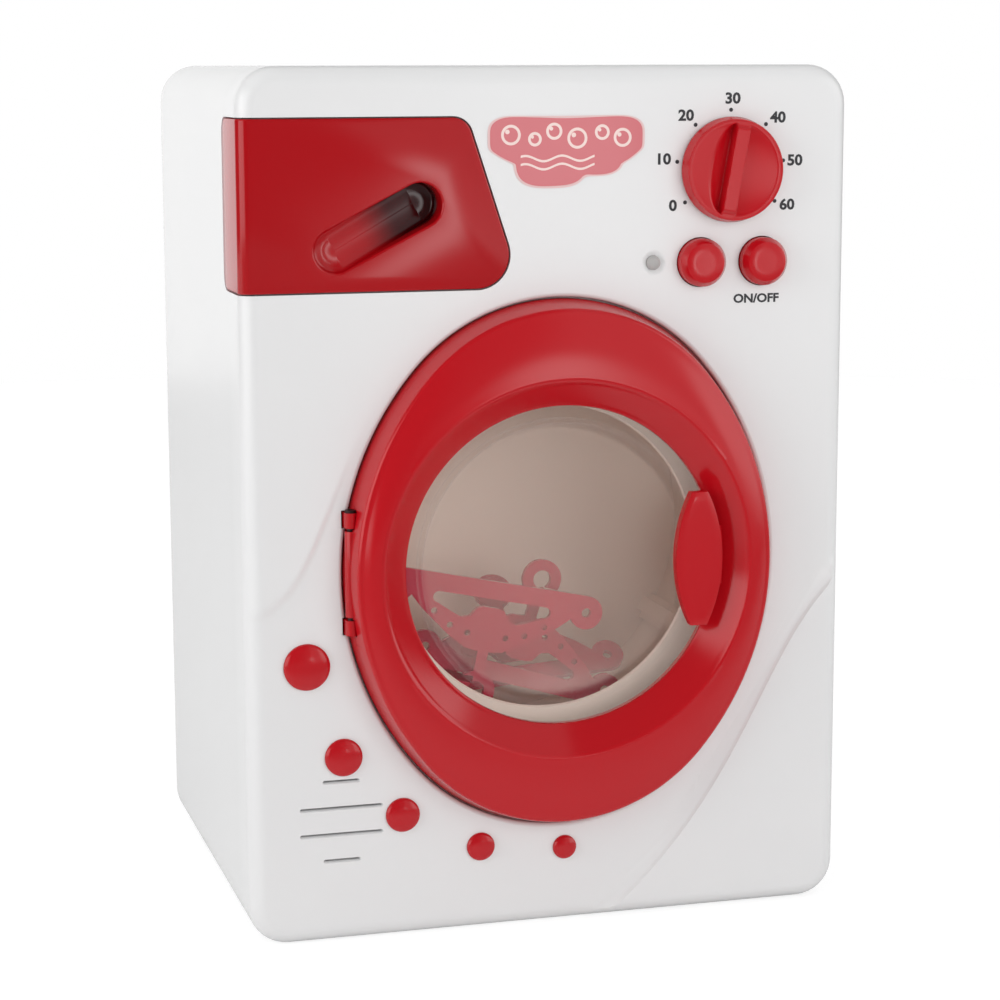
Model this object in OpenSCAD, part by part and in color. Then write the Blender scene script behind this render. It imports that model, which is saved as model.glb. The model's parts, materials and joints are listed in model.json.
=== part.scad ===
// Toy front-loading washing machine.
// Front faces -Y, +Z is up, origin at the centre of the flat bottom. Millimetres.

/* [Cabinet] */
// Width of the cabinet
body_w = 190; // [186:1:200]
// Depth of the cabinet from the front face to the back
body_d = 149; // [145:1:160]
// Height of the cabinet
body_h = 264; // [262:1:275]
// Radius of the four corners seen from the front
corner_r = 12; // [10:1:14]
// Radius of the front and back edges
edge_r = 5; // [4:0.5:6]
// Thickness of the cabinet wall
wall = 2.4; // [2:0.2:2.8]
// Depth of the rear cover, from its seam to the back
cover_d = 11; // [9:1:14]

/* [Door] */
// Centre of the door across the front
door_x = 2.5; // [1:0.5:4]
// Centre height of the door
door_z = 113.5; // [112:0.5:115]
// Half width of the oval door ring
ring_a = 66; // [64:0.5:67]
// Half height of the oval door ring
ring_b = 79.5; // [77:0.5:81]
// How far the ring stands out of the front face
ring_proud = 9; // [7:0.5:10]
// Radius of the raised ridge round the dished middle
ridge_r = 58; // [56:0.5:60]
// Radius of the window opening in the ring
window_r = 49.2; // [48:0.2:50]
// Depth of the clear bowl behind its rim
bowl_d = 10; // [7:0.5:10]
// Gap between the ring and the recess it sits in
recess_gap = 2.5; // [1.5:0.5:3]
// Depth of the oval recess in the front face
recess_d = 4; // [3:0.5:4]
// Radius of the mouth behind the door
mouth_r = 54; // [52:0.5:55]

/* [Drum] */
// Outer radius of the drum
drum_r = 64.2; // [60:0.2:65]
// Length of the drum from lip to back
drum_len = 61; // [50:1:62]
// Wall of the drum and of its housing
drum_wall = 1.8; // [1.6:0.1:2.2]
// Radius of the steel shaft
shaft_r = 2.5; // [2:0.25:3]

/* [Drive] */
// Tooth size (pitch diameter over teeth)
gear_m = 1; // [1:0.5:1]
// Teeth on the drum gear
drum_teeth = 54; // [54:2:60]
// Teeth on the idler's small wheel
idler_small = 12; // [12:1:14]
// Teeth on the idler's large wheel
idler_large = 40; // [36:1:40]
// Teeth on the motor pinion
motor_teeth = 10; // [10:1:12]

/* [Control panel] */
// Centre of the dial across the front
dial_x = 56.4; // [54:0.2:58]
// Centre height of the dial
dial_z = 232.6; // [230:0.2:234]
// Radius of the dial skirt
dial_r = 16; // [14:0.5:17]
// Turn of the dial's grip bar from upright, clockwise
dial_rest = 10.6; // [0:0.2:20]
// Radius of the two push buttons
button_r = 7.3; // [6:0.1:7.5]
// Height of the button centres
button_z = 204.7; // [203:0.1:206]
// How far the buttons stand out
button_proud = 5; // [3:0.5:6]

/* [Drawer] */
// Top edge of the drawer face
drawer_top = 249.5; // [248:0.5:250]
// Bottom edge of the drawer face
drawer_bottom = 197.9; // [196:0.1:200]
// How far the drawer face wraps round the side
drawer_wrap = 25; // [20:1:28]
// Thickness of the drawer face
drawer_t = 2.2; // [2:0.1:2.3]

/* [Speaker] */
// Centre of the speaker and its slots across the front
speaker_x = -66.7; // [-68:0.1:-65]
// Centre height of the speaker and its slots
speaker_z = 38.1; // [37:0.1:40]
// Radius of the speaker frame
speaker_r = 14.5; // [13:0.5:15]

/* [Hidden] */
$fn = 96;
eps = 0.05;

white_abs = [0.93, 0.93, 0.92];
red_abs = [0.72, 0.05, 0.08];
clear_ps = [0.86, 0.88, 0.88, 0.5];
hanger_red = [0.80, 0.15, 0.30, 0.7];
steel = [0.72, 0.72, 0.74];

// Planes along the depth: the front face, the seam of the rear cover and the back
face_y = -74;
back_y = face_y + body_d;
seam_y = back_y - cover_d;
inner_y = face_y + wall;
// Swept step low on the right of the front
step_t = 1;
step_curve = [[96, 108], [66, 84], [66, 40], [14, -1]];

// Door planes, front to back
ridge_y = face_y - ring_proud - 2;
ring_front = face_y - ring_proud;
lip_y = face_y - 3.2;
recess_floor = face_y + recess_d;
ring_back = recess_floor - 0.6;
floor_back = recess_floor + wall;
window_t = 1.5;
bowl_r = 44;
bowl_floor_r = 42.6;
bowl_back = lip_y + bowl_d;
clamp_y = lip_y + 2.9;
clamp_t = 1.5;
flange_r = 53;
clamp_in_r = 50.6;
clamp_out_r = 59.8;
// Hinge axis, in the gap at the left of the ring
hinge_x = -63.2;
hinge_y = face_y - 2;
hinge_pin_r = 1.2;
knuckle_r = 2.4;
lug_half = 13;
arm_t = 4.6;
// Catch on the right
tongue_x = 60.4;
tongue_t = 1.8;
tongue_half = 5;

// Drum planes
axis_x = 2;
axis_z = 114;
drum_front = face_y + 11;
drum_back = drum_front + drum_len;
drum_mouth_r = 48;
drum_hub_r = 8;
drum_bore_y = drum_back - 1;
housing_r = drum_r + 3.8;
housing_front = floor_back + 2.4;
housing_wall_y = drum_back + 6;
housing_back = housing_wall_y + 2.4;
bush_r = 4;
running = 0.05;
gear_y = housing_back + 2.6;
gear_w = 5;
housing_ears = [45, 135, 225, 315];
ear_r = 74;

// Drive centres: the idler hangs below right of the drum axis, the motor right of the idler
idler_angle = -50;
motor_angle = -20;
idler_at = [axis_x, axis_z]
    + gear_m * (drum_teeth + idler_small) / 2 * [cos(idler_angle), sin(idler_angle)];
motor_at = idler_at
    + gear_m * (idler_large + motor_teeth) / 2 * [cos(motor_angle), sin(motor_angle)];
idler_pin_r = 1.5;
large_y = gear_y + gear_w + 1;
large_w = 4;
plate_y = large_y + large_w + 2.6;
plate_t = 2;
post_at = [[-24, 85], [44, 110], [24, 58.5]];
motor_len = 25;
motor_r = 10;

// Drawer outline on the front face: top right and bottom right corners
drawer_tr = -26.3;
drawer_br = -9.6;
tray_x = [-84, -24];
tray_z = [200.8, 240];
tray_y = [face_y + 3.2, face_y + 50];

// Controls
start_x = 47;
power_x = 66.9;
led_at = [32.1, 204.8];
sleeve_r = button_r + 0.3;
board_y = face_y + 20;
board_t = 1.6;
stem_r = 3.55;

// Trim plugs: [x, z, radius]
trim_dots = [[-76.8, 86.5, 7.1], [-65.9, 57.9, 5.8], [-47.7, 38.5, 5.3], [-23.1, 26.4, 4.4],
    [3.9, 24, 3.75]];

// Batteries
cell_r = 7.15;
cell_len = 50.5;
cell_pitch = 15.7;
cell_z = 19.5;
cell_y = back_y - 12.5;
box_x = 33.1;
box_z = [10, 68];
box_y = [back_y - 23, back_y - wall];
cover_posts = [[-87.4, 14], [87.4, 14], [-87.4, 250], [87.4, 250]];

// ---------- helpers ----------

// Lays a flat outline (x, z) in the depth from y0 to y1
module slab(y0, y1) {
    translate([0, y1, 0]) rotate([90, 0, 0]) linear_extrude(y1 - y0) children();
}

// Round bar along the depth, centred on [x, z]
module bar(at, r, y0, y1) {
    translate([at[0], y1, at[1]]) rotate([90, 0, 0]) cylinder(r = r, h = y1 - y0);
}

// Turns a profile of [radius, y] points about the depth axis through [x, z]
module turned(at, profile) {
    translate([at[0], 0, at[1]]) rotate([90, 0, 0]) rotate_extrude()
        polygon([for (p = profile) [p[0], -p[1]]]);
}

// Block from one corner to the other
module block(low, high) {
    translate(low) cube(high - low);
}

// Rectangle with round corners, centred, made of squares and circles
module round_rect(w, h, r) {
    square([w - 2 * r, h], center = true);
    square([w, h - 2 * r], center = true);
    for (sx = [-1, 1]) for (sz = [-1, 1])
        translate([sx * (w / 2 - r), sz * (h / 2 - r)]) circle(r);
}

// Oval of four arcs, half width a and half height b. The arcs meet at a bend too slight to see
module oval(a, b) {
    bend = 1 - cos(2.5);
    r = a - (b - a) * 0.6;
    c = b - r;
    s = (a * a + c * c - r * r) / (2 * (a - r) + 2 * r * bend);
    meet = c * s / norm([s - a, c]);
    intersection() {
        translate([s - a, 0]) circle(s, $fn = 200);
        translate([a - s, 0]) circle(s, $fn = 200);
        union() {
            for (side = [-1, 1]) translate([0, side * c]) circle(r);
            square([2 * a + 2, 2 * meet], center = true);
        }
    }
}
module door_oval(grow) {
    translate([door_x, door_z]) oval(ring_a + grow, ring_b + grow);
}

// Cabinet block with rounded front edges; inset shrinks it on every side but the back
module cabinet_form(y0, y1, inset) {
    w = body_w - 2 * inset;
    h = body_h - 2 * inset;
    r = corner_r - inset;
    e = edge_r - inset;
    translate([0, 0, body_h / 2]) {
        slab(y0 + e, y1) round_rect(w, h, r);
        slab(y0, y0 + e + eps) round_rect(w - 2 * e, h - 2 * e, r - e);
        for (sx = [-1, 1]) for (sz = [-1, 1])
            translate([sx * (w / 2 - r), y0 + e, sz * (h / 2 - r)]) rotate([90, 0, 0])
                rotate_extrude() translate([r - e, 0]) circle(e, $fn = 32);
        for (sx = [-1, 1]) translate([sx * (w / 2 - e), y0 + e, 0])
            cylinder(r = e, h = h - 2 * r, center = true, $fn = 32);
        for (sz = [-1, 1]) translate([0, y0 + e, sz * (h / 2 - e)]) rotate([0, 90, 0])
            cylinder(r = e, h = w - 2 * r, center = true, $fn = 32);
    }
}

// Point on a cubic curve through four control points
function cubic(p, t) = pow(1 - t, 3) * p[0] + 3 * t * pow(1 - t, 2) * p[1]
    + 3 * t * t * (1 - t) * p[2] + t * t * t * p[3];

// Gear wheel outline: straight-flanked teeth thinned for backlash
module gear_outline(teeth, turn = 0) {
    pitch = gear_m * teeth / 2;
    tip = pitch + 0.8 * gear_m;
    root = pitch - 1.15 * gear_m;
    step = 360 / teeth;
    points = [for (i = [0:teeth - 1]) for (q = [[root, -0.33], [pitch, -0.22], [tip, -0.09],
        [tip, 0.09], [pitch, 0.22], [root, 0.33]])
        q[0] * [cos(turn + (i + q[1]) * step), sin(turn + (i + q[1]) * step)]];
    polygon(points);
}
module gear(at, teeth, turn, y0, y1) {
    translate([at[0], 0, at[1]]) slab(y0, y1) gear_outline(teeth, turn);
}

// Pan-head screw pointing towards -Y: head from y0 to y0 + head_t, shank forward by len
module screw(at, y0, len, shank = 1.3, head = 2.6, head_t = 1.8) {
    difference() {
        union() {
            bar(at, shank, y0 - len, y0);
            bar(at, head, y0, y0 + head_t);
        }
        for (a = [0, 90]) translate([at[0], y0 + head_t, at[1]]) rotate([0, a, 0])
            cube([2 * head - 1.6, 2, 0.7], center = true);
    }
}

// ---------- cabinet ----------

// Drawer outline on the front, run out past the left side
module drawer_outline(grow) {
    r_low = 10;
    r_top = 6;
    lean = (drawer_tr - drawer_br) / (drawer_top - drawer_bottom);
    out = [1, -lean] / sqrt(1 + lean * lean);
    low = [drawer_br + lean * r_low - r_low / out[0], drawer_bottom + r_low];
    top = [drawer_tr - lean * r_top - r_top / out[0], drawer_top - r_top];
    left = -body_w / 2 - 5;
    polygon([
        [left, low[1] - r_low - grow], [low[0], low[1] - r_low - grow],
        low + (r_low + grow) * out, top + (r_top + grow) * out,
        [top[0], top[1] + r_top + grow], [left, top[1] + r_top + grow]
    ]);
    translate(low) circle(r_low + grow);
    translate(top) circle(r_top + grow);
}

// Region of the drawer face: the front plus the strip it wraps round the side
module drawer_region(grow, t) {
    reach = face_y + drawer_wrap + grow;
    z0 = drawer_bottom - grow;
    z1 = drawer_top + grow;
    r = 5;
    intersection() {
        slab(face_y - 8, reach) drawer_outline(grow);
        union() {
            block([-body_w, face_y - 9, z0 - 1], [body_w, face_y + t + 2.6, z1 + 1]);
            translate([-body_w, 0, 0]) rotate([90, 0, 90]) linear_extrude(body_w / 2 + t + 2.6) {
                translate([face_y - 9, z0]) square([reach - r - face_y + 9, z1 - z0]);
                translate([face_y - 9, z0 + r]) square([reach - face_y + 9, z1 - z0 - 2 * r]);
                for (z = [z0 + r, z1 - r]) translate([reach - r, z]) circle(r);
            }
        }
    }
}

// Finger pocket outline
finger = [[-66.2, 210.5], [-40.5, 223.5]];
finger_r = 6.5;
module finger_outline(grow) {
    d = finger[1] - finger[0];
    translate(finger[0]) rotate(atan2(d[1], d[0])) {
        circle(finger_r + grow);
        translate([0, -finger_r - grow]) square([norm(d), 2 * (finger_r + grow)]);
        translate([norm(d), 0]) circle(finger_r + grow);
    }
}

post_r = 3;
board_posts = [[30, 222], [78, 195]];
board_x = [25, 83];
board_z = [190, 226.5];
speaker_posts = [for (a = [45, 225]) [speaker_x, speaker_z] + 18.7 * [cos(a), sin(a)]];
detent_posts = [for (s = [-1, 1]) [dial_x + 12, dial_z + 12 * s]];
housing_posts = [for (a = housing_ears) [axis_x, axis_z] + ear_r * [cos(a), sin(a)]];
slot_rows = [[12.3, 5.75], [4, 12.9], [-4.2, 12.9], [-12.4, 5.75]];

module front_shell() {
    color(white_abs) difference() {
        union() {
            difference() {
                union() {
                    cabinet_form(face_y, seam_y, 0);
                    // Swept step, low on the right
                    intersection() {
                        cabinet_form(face_y - step_t, face_y + 20, 0);
                        slab(face_y - 3, face_y + 18) polygon(concat(
                            [for (i = [0:16]) cubic(step_curve, i / 16)], [[120, -9], [120, 108]]));
                    }
                }
                cabinet_form(inner_y, seam_y + 5, wall);
            }
            slab(inner_y - 1, floor_back) door_oval(recess_gap + wall);
            for (p = housing_posts) bar(p, 3.5, recess_floor + 0.5, drum_front + 0.4);
            for (p = board_posts) bar(p, post_r, inner_y - 0.5, board_y);
            for (p = speaker_posts) bar(p, 2.6, inner_y - 0.5, face_y + 5);
            for (p = detent_posts) bar(p, 1.8, inner_y - 0.5, face_y + 11.5);
            for (x = [start_x, power_x]) bar([x, button_z], sleeve_r + 1.6, inner_y - 0.5, face_y + 10);
            bar([dial_x, dial_z], 7, inner_y - 0.5, face_y + 8);
            for (p = cover_posts) bar(p, 5.4, seam_y - 24, seam_y - 0.2);
        }
        // Drawer mouth, through the front and the left side
        difference() {
            drawer_region(0.4, wall);
            cabinet_form(inner_y + 0.01, seam_y, wall);
        }
        // Door recess and round mouth
        slab(face_y - 5, recess_floor) door_oval(recess_gap);
        bar([axis_x, axis_z], mouth_r, face_y - 5, floor_back + 1);
        // Hinge slots and the catch slot
        for (z = [98.2, 130.8]) block([hinge_x - 2.5, face_y - 9, z - arm_t / 2 - 0.4],
            [hinge_x + 2.5, floor_back + 1, z + arm_t / 2 + 0.4]);
        block([58.8, recess_floor - 1, 107.5], [64, floor_back + 1, 120.5]);
        // Bores
        for (p = housing_posts) bar(p, 1.35, recess_floor + 1.4, drum_front + 1);
        for (p = board_posts) bar(p, 1.15, inner_y + 0.6, board_y + 1);
        for (p = speaker_posts) bar(p, 0.95, inner_y, face_y + 6);
        for (p = cover_posts) bar(p, 1.35, seam_y - 20, seam_y + 1);
        for (x = [start_x, power_x]) bar([x, button_z], sleeve_r, face_y - 5, face_y + 11);
        bar([dial_x, dial_z], stem_r + running, face_y - 5, face_y + 9);
        bar(led_at, 2.25, face_y - 5, inner_y + 1);
        turned(led_at, [[0, face_y - 1], [3.9, face_y - 1], [3.6, face_y], [2.25, face_y + 1.1],
            [0, face_y + 1.1]]);
        for (d = trim_dots) bar([d[0], d[1]], 2, face_y - 5, inner_y + 1);
        // Speaker slots
        for (row = slot_rows) slab(face_y - 5, inner_y + 1)
            translate([speaker_x, speaker_z + row[0]]) {
                square([2 * row[1] - 1.1, 1.1], center = true);
                for (s = [-1, 1]) translate([s * (row[1] - 0.55), 0]) circle(0.55);
            }
    }
}

// ---------- rear ----------

door_half = 31.2;
door_low = 12;
door_high = 59.2;
tab_at = [0, 63];

module rear_cover() {
    color(white_abs) difference() {
        union() {
            difference() {
                mirror([0, 1, 0]) cabinet_form(-back_y, -seam_y, 0);
                mirror([0, 1, 0]) cabinet_form(-(back_y - wall), -seam_y + 1, wall);
            }
            // Lip that locates in the cabinet
            translate([0, 0, body_h / 2]) difference() {
                union() {
                    slab(seam_y, seam_y + 2) round_rect(body_w - 2 * wall + 0.2,
                        body_h - 2 * wall + 0.2, corner_r - wall + 0.1);
                    slab(seam_y - 6, seam_y + 1) round_rect(body_w - 2 * wall - 0.3,
                        body_h - 2 * wall - 0.3, corner_r - wall - 0.15);
                }
                slab(seam_y - 7, seam_y + 3) round_rect(body_w - 2 * wall - 3.5,
                    body_h - 2 * wall - 3.5, corner_r - wall - 1.75);
            }
            for (p = cover_posts) bar(p, 5.4, seam_y, back_y - 1);
            bar(tab_at, 4, back_y - 14, back_y - 1);
        }
        for (p = cover_posts) {
            bar(p, 5.8, seam_y - 7, seam_y);
            bar(p, 1.6, seam_y - 1, back_y);
            bar(p, 3, back_y - 4.8, back_y + 1);
        }
        // Battery opening and the screw tab's seat
        block([-door_half - 0.3, back_y - wall - 1, door_low - 0.3],
            [door_half + 0.3, back_y + 1, door_high + 0.3]);
        bar(tab_at, 4.8, back_y - 2.2, back_y + 1);
        block([-4.8, back_y - 2.2, door_high - 1], [4.8, back_y + 1, tab_at[1]]);
        bar(tab_at, 1.15, back_y - 13, back_y);
        // Vents
        for (i = [0:6]) block([-24, back_y - wall - 1, 170 + 8 * i], [24, back_y + 1, 172.4 + 8 * i]);
    }
}

module cover_screws() {
    color(steel) for (p = cover_posts) screw(p, back_y - 4.8, 18);
}

module battery_door() {
    color(white_abs) difference() {
        union() {
            block([-door_half, back_y - 2.2, door_low], [door_half, back_y, door_high]);
            bar(tab_at, 4.5, back_y - 2.2, back_y);
            block([-4.5, back_y - 2.2, door_high - 1], [4.5, back_y, tab_at[1]]);
            for (x = [-20, 20]) block([x - 4, back_y - 3.9, door_low - 1.6],
                [x + 4, back_y - 2.6, door_low + 4]);
            for (x = [-20, 20]) block([x - 4, back_y - 3, door_low + 1],
                [x + 4, back_y - 2, door_low + 4]);
        }
        bar(tab_at, 1.35, back_y - 3, back_y + 1);
        bar(tab_at, 2.5, back_y - 1.1, back_y + 1);
        for (i = [-3:3]) block([i * 5 - 0.6, back_y - 0.5, 50], [i * 5 + 0.6, back_y + 1, 56]);
    }
}

module battery_door_screw() {
    color(steel) screw(tab_at, back_y - 1.1, 10, 1.1, 2.2, 0.9);
}

module battery_box() {
    color([0.2, 0.2, 0.2]) difference() {
        block([-box_x, box_y[0], box_z[0]], [box_x, box_y[1], box_z[1]]);
        block([-box_x + 1.5, box_y[0] + 1.5, box_z[0] + 1.5], [box_x - 1.5, box_y[1] + 1, box_z[1] - 1.5]);
        bar(tab_at, 4.1, box_y[0] - 1, box_y[1] + 1);
        for (x = [-20, 20]) block([x - 4.4, back_y - 4.3, box_z[0] - 1], [x + 4.4, back_y, box_z[0] + 3]);
    }
}

module battery_cells() {
    for (i = [0:2]) {
        s = i % 2 == 0 ? 1 : -1;
        translate([0, cell_y, cell_z + cell_pitch * i]) rotate([0, 90 * s, 0]) {
            color([0.2, 0.2, 0.22]) translate([0, 0, -cell_len / 2])
                cylinder(r = cell_r, h = cell_len - 1.2);
            color(steel) translate([0, 0, cell_len / 2 - 1.3]) cylinder(r = 2.7, h = 1.3);
        }
    }
}

module battery_contacts() {
    color(steel) for (s = [-1, 1]) {
        pair = s > 0 ? [0, 1] : [1, 2];
        x0 = s * (box_x - 1.5);
        block([min(x0, x0 - s * 0.5), cell_y - 5, cell_z + cell_pitch * pair[0] - 5],
            [max(x0, x0 - s * 0.5), cell_y + 5, cell_z + cell_pitch * pair[1] + 5]);
        spare = s > 0 ? 2 : 0;
        block([min(x0, x0 - s * 0.5), cell_y - 5, cell_z + cell_pitch * spare - 5],
            [max(x0, x0 - s * 0.5), cell_y + 5, cell_z + cell_pitch * spare + 5]);
        for (i = [0:2]) translate([0, cell_y, cell_z + cell_pitch * i]) rotate([0, s * 90, 0])
            translate([0, 0, cell_len / 2 + 0.05])
                cylinder(r1 = 2.2, r2 = 3.4, h = box_x - 2 - cell_len / 2);
    }
}

// ---------- door ----------

// Height of the dished cone at radius r, on its front
function cone_y(r) = ridge_y + (ridge_r - r) * (lip_y - ridge_y) / (ridge_r - window_r);
skin = 2.5;
door_at = [door_x, door_z];
clamp_angles = [35, 145, 215, 325];
function clamp_point(a) = door_at + 56.8 * [cos(a), sin(a)];

module door_ring() {
    color(red_abs) difference() {
        union() {
            difference() {
                union() {
                    slab(ring_front + 1, ring_back) door_oval(0);
                    slab(ring_front, ring_front + 1 + eps) door_oval(-1);
                    turned(door_at, [[0, ring_front + 1], [ring_a - 1, ring_front + 1],
                        [ring_a - 1, ring_front], [ridge_r, ridge_y], [0, ridge_y]]);
                }
                // Hollow behind the oval skin
                difference() {
                    slab(ring_front + 1.9, ring_back + 1) door_oval(-2);
                    turned(door_at, [[0, ridge_y - 1], [ridge_r, ridge_y - 1],
                        [ridge_r, cone_y(ridge_r) + skin],
                        [window_r + 2, cone_y(window_r + 2) + skin], [window_r + 2, lip_y + skin],
                        [0, lip_y + skin]]);
                }
            }
            for (a = clamp_angles) bar(clamp_point(a), 3, ring_front + 1, clamp_y + 1.2);
            // Hinge knuckle
            translate([hinge_x, hinge_y, door_z + 1 - lug_half]) cylinder(r = knuckle_r, h = 2 * lug_half);
            block([hinge_x, hinge_y - knuckle_r, door_z + 1 - lug_half],
                [hinge_x + 3, hinge_y + knuckle_r, door_z + 1 + lug_half]);
        }
        // Dished middle and the window opening
        turned(door_at, [[0, ridge_y - 1], [ridge_r + 1.2, ridge_y - 1], [ridge_r, ridge_y],
            [window_r, lip_y], [window_r, ring_back + 1], [0, ring_back + 1]]);
        translate([hinge_x, hinge_y, 80]) cylinder(r = hinge_pin_r + running, h = 70);
        // Room for the hinge arms
        for (z = [98.2, 130.8]) block([hinge_x - 6, hinge_y - 3.4, z - arm_t / 2 - 0.6],
            [hinge_x + 5.5, ring_back + 1, z + arm_t / 2 + 0.6]);
        for (a = clamp_angles) bar(clamp_point(a), 0.95, ring_front + 3, ring_back + 1);
    }
}

module door_window() {
    rim = window_r - 0.1;
    y0 = lip_y;
    color(clear_ps) turned(door_at, [
        [bowl_r, y0], [rim, y0], [rim, y0 + skin + 0.1], [flange_r, y0 + skin + 0.1],
        [flange_r, clamp_y + 1.2], [bowl_r + window_t, clamp_y + 1.2],
        [bowl_floor_r + window_t, bowl_back - 1], [bowl_floor_r + 0.5, bowl_back], [0, bowl_back],
        [0, bowl_back - window_t], [bowl_floor_r - 1, bowl_back - window_t], [bowl_floor_r, bowl_back - 2.5]
    ]);
}

module window_clamp() {
    y0 = clamp_y + 1.2;
    color(white_abs) difference() {
        union() {
            turned(door_at, [[clamp_in_r, y0], [clamp_out_r, y0], [clamp_out_r, y0 + clamp_t],
                [clamp_in_r, y0 + clamp_t]]);
            block([56, y0, door_z - tongue_half + 0.5],
                [tongue_x + tongue_t, y0 + clamp_t, door_z + tongue_half + 0.5]);
            block([tongue_x, y0, door_z - tongue_half + 0.5],
                [tongue_x + tongue_t, floor_back + 2.1, door_z + tongue_half + 0.5]);
        }
        for (a = clamp_angles) bar(clamp_point(a), 1.1, y0 - 1, y0 + clamp_t + 1);
    }
}

module door_screws() {
    color(steel) for (a = clamp_angles) screw(clamp_point(a), clamp_y + 1.2 + clamp_t, 7.5, 0.9, 2, 0.9);
}

pull_at = [43.5, 114.7];
pull_w = 15;
pull_h = 41.5;
module pull_outline() {
    r = 46.4;
    d = r - pull_w / 2;
    translate(pull_at) intersection() {
        translate([d, 0]) circle(r, $fn = 200);
        translate([-d, 0]) circle(r, $fn = 200);
        square([pull_w, pull_h], center = true);
    }
}

module door_pull() {
    color(red_abs) {
        slab(ring_front - 1, ring_front + 2.6) pull_outline();
        difference() {
            slab(ring_front + 2, lip_y) intersection() {
                pull_outline();
                translate([pull_at[0] + 3.2, pull_at[1] - 10]) square([10, 20]);
            }
            bar(door_at, window_r - 0.02, lip_y - 0.05, lip_y + 3);
        }
        // Root of the pull, let into the dished cone
        difference() {
            slab(ring_front + 1, lip_y - 0.4) translate([pull_at[0] + 3.2, pull_at[1] - 9]) square([9, 18]);
            bar(door_at, window_r - 0.6, ring_front + 2.61, lip_y + 1);
        }
    }
}

module hinge_bracket() {
    color(red_abs) difference() {
        union() {
            block([hinge_x - 4, floor_back, 91], [hinge_x + 6, floor_back + 1.8, 138]);
            for (z = [98.2, 130.8]) {
                translate([hinge_x, hinge_y, z - arm_t / 2]) cylinder(r = 2, h = arm_t);
                block([hinge_x - 2, hinge_y, z - arm_t / 2],
                    [hinge_x + 2, floor_back + 0.5, z + arm_t / 2]);
            }
        }
        translate([hinge_x, hinge_y, 80]) cylinder(r = hinge_pin_r + running, h = 70);
    }
}

module hinge_pin() {
    color(steel) translate([hinge_x, hinge_y, 0]) {
        translate([0, 0, 96.5]) cylinder(r = hinge_pin_r, h = 36.8);
        translate([0, 0, 133.1]) cylinder(r = 1.8, h = 0.8);
    }
}

module door_catch() {
    color([0.5, 0.5, 0.5]) difference() {
        block([57, floor_back, 104.5], [66, floor_back + 2.4, 123.5]);
        block([tongue_x - 0.4, floor_back - 1, 108.4], [tongue_x + tongue_t + 0.8, floor_back + 5, 119.6]);
    }
}

// ---------- drum and drive ----------

axis_at = [axis_x, axis_z];

module drum_housing() {
    color(white_abs) difference() {
        union() {
            turned(axis_at, [[housing_r, housing_front], [housing_r, housing_back], [0, housing_back],
                [0, housing_wall_y], [housing_r - drum_wall, housing_wall_y],
                [housing_r - drum_wall, housing_front]]);
            for (a = housing_ears) translate([axis_x, 0, axis_z]) rotate([0, -a, 0])
                block([housing_r - 1, drum_front + 0.6, -5], [ear_r + 4, drum_front + 3, 5]);
            for (p = post_at) bar(p, 3.2, housing_back - 1, plate_y);
            bar(idler_at, 3.4, housing_back - 1, gear_y - 0.6);
            bar(axis_at, 8, housing_back - 1, housing_back + 1);
        }
        bar(axis_at, bush_r + running, housing_wall_y - 2, housing_back + 3);
        bar(idler_at, idler_pin_r + running, housing_wall_y - 1, gear_y + 3);
        for (p = housing_posts) bar(p, 1.6, drum_front, drum_front + 4);
        for (p = post_at) bar(p, 1.15, housing_back + 1, plate_y + 1);
    }
}

module housing_screws() {
    color(steel) for (p = housing_posts) screw(p, drum_front + 3, 7.5);
}

module drum() {
    r = drum_r;
    t = drum_wall;
    color([0.86, 0.84, 0.80]) difference() {
        union() {
            turned(axis_at, [[r, drum_front + 1], [r, drum_back], [0, drum_back], [0, drum_back - t],
                [r - t, drum_back - t], [r - t, drum_front + 2.2], [drum_mouth_r, drum_front + 2.2],
                [drum_mouth_r - 0.5, drum_front + 1.3], [drum_mouth_r, drum_front + 0.4],
                [r - 1, drum_front + 0.4]]);
            bar(axis_at, drum_hub_r, drum_back - 1, drum_back + 3.6);
            // Lifters
            for (a = [90, 210, 330]) translate([axis_x, 0, axis_z]) rotate([0, -a, 0]) {
                block([r - 6, drum_front + 1.5, -2.5], [r - 1, drum_back - 1, 2.5]);
                block([r - 4, drum_front + 1.5, -4.5], [r - 1, drum_back - 1, 4.5]);
            }
        }
        bar(axis_at, shaft_r, drum_bore_y, drum_back + 10);
    }
}

module drum_shaft() {
    color(steel) bar(axis_at, shaft_r, drum_bore_y, gear_y + gear_w + 3);
}

module shaft_bush() {
    color([0.75, 0.6, 0.3]) turned(axis_at, [[shaft_r + running, housing_wall_y - 1.8],
        [6, housing_wall_y - 1.8], [6, housing_wall_y], [bush_r, housing_wall_y],
        [bush_r, housing_back + 1.6], [shaft_r + running, housing_back + 1.6]]);
}

module drum_gear() {
    color([0.95, 0.93, 0.85]) difference() {
        union() {
            gear(axis_at, drum_teeth, idler_angle, gear_y, gear_y + gear_w);
            bar(axis_at, 6, gear_y - 0.6, gear_y + gear_w + 1);
        }
        difference() {
            bar(axis_at, 22, gear_y + 2, gear_y + gear_w + 1);
            bar(axis_at, 6, gear_y, gear_y + gear_w + 2);
        }
        bar(axis_at, shaft_r, gear_y - 2, gear_y + gear_w + 3);
    }
}

module idler_gear() {
    color([0.95, 0.93, 0.85]) difference() {
        union() {
            gear(idler_at, idler_small, idler_angle + 180 + 180 / idler_small, gear_y, large_y + 1);
            gear(idler_at, idler_large, motor_angle, large_y, large_y + large_w);
            bar(idler_at, 3, gear_y - 0.4, large_y + large_w + 1);
        }
        bar(idler_at, idler_pin_r + running, gear_y - 2, plate_y + 2);
    }
}

module idler_pin() {
    color(steel) bar(idler_at, idler_pin_r, housing_wall_y, plate_y + plate_t + 1);
}

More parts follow.
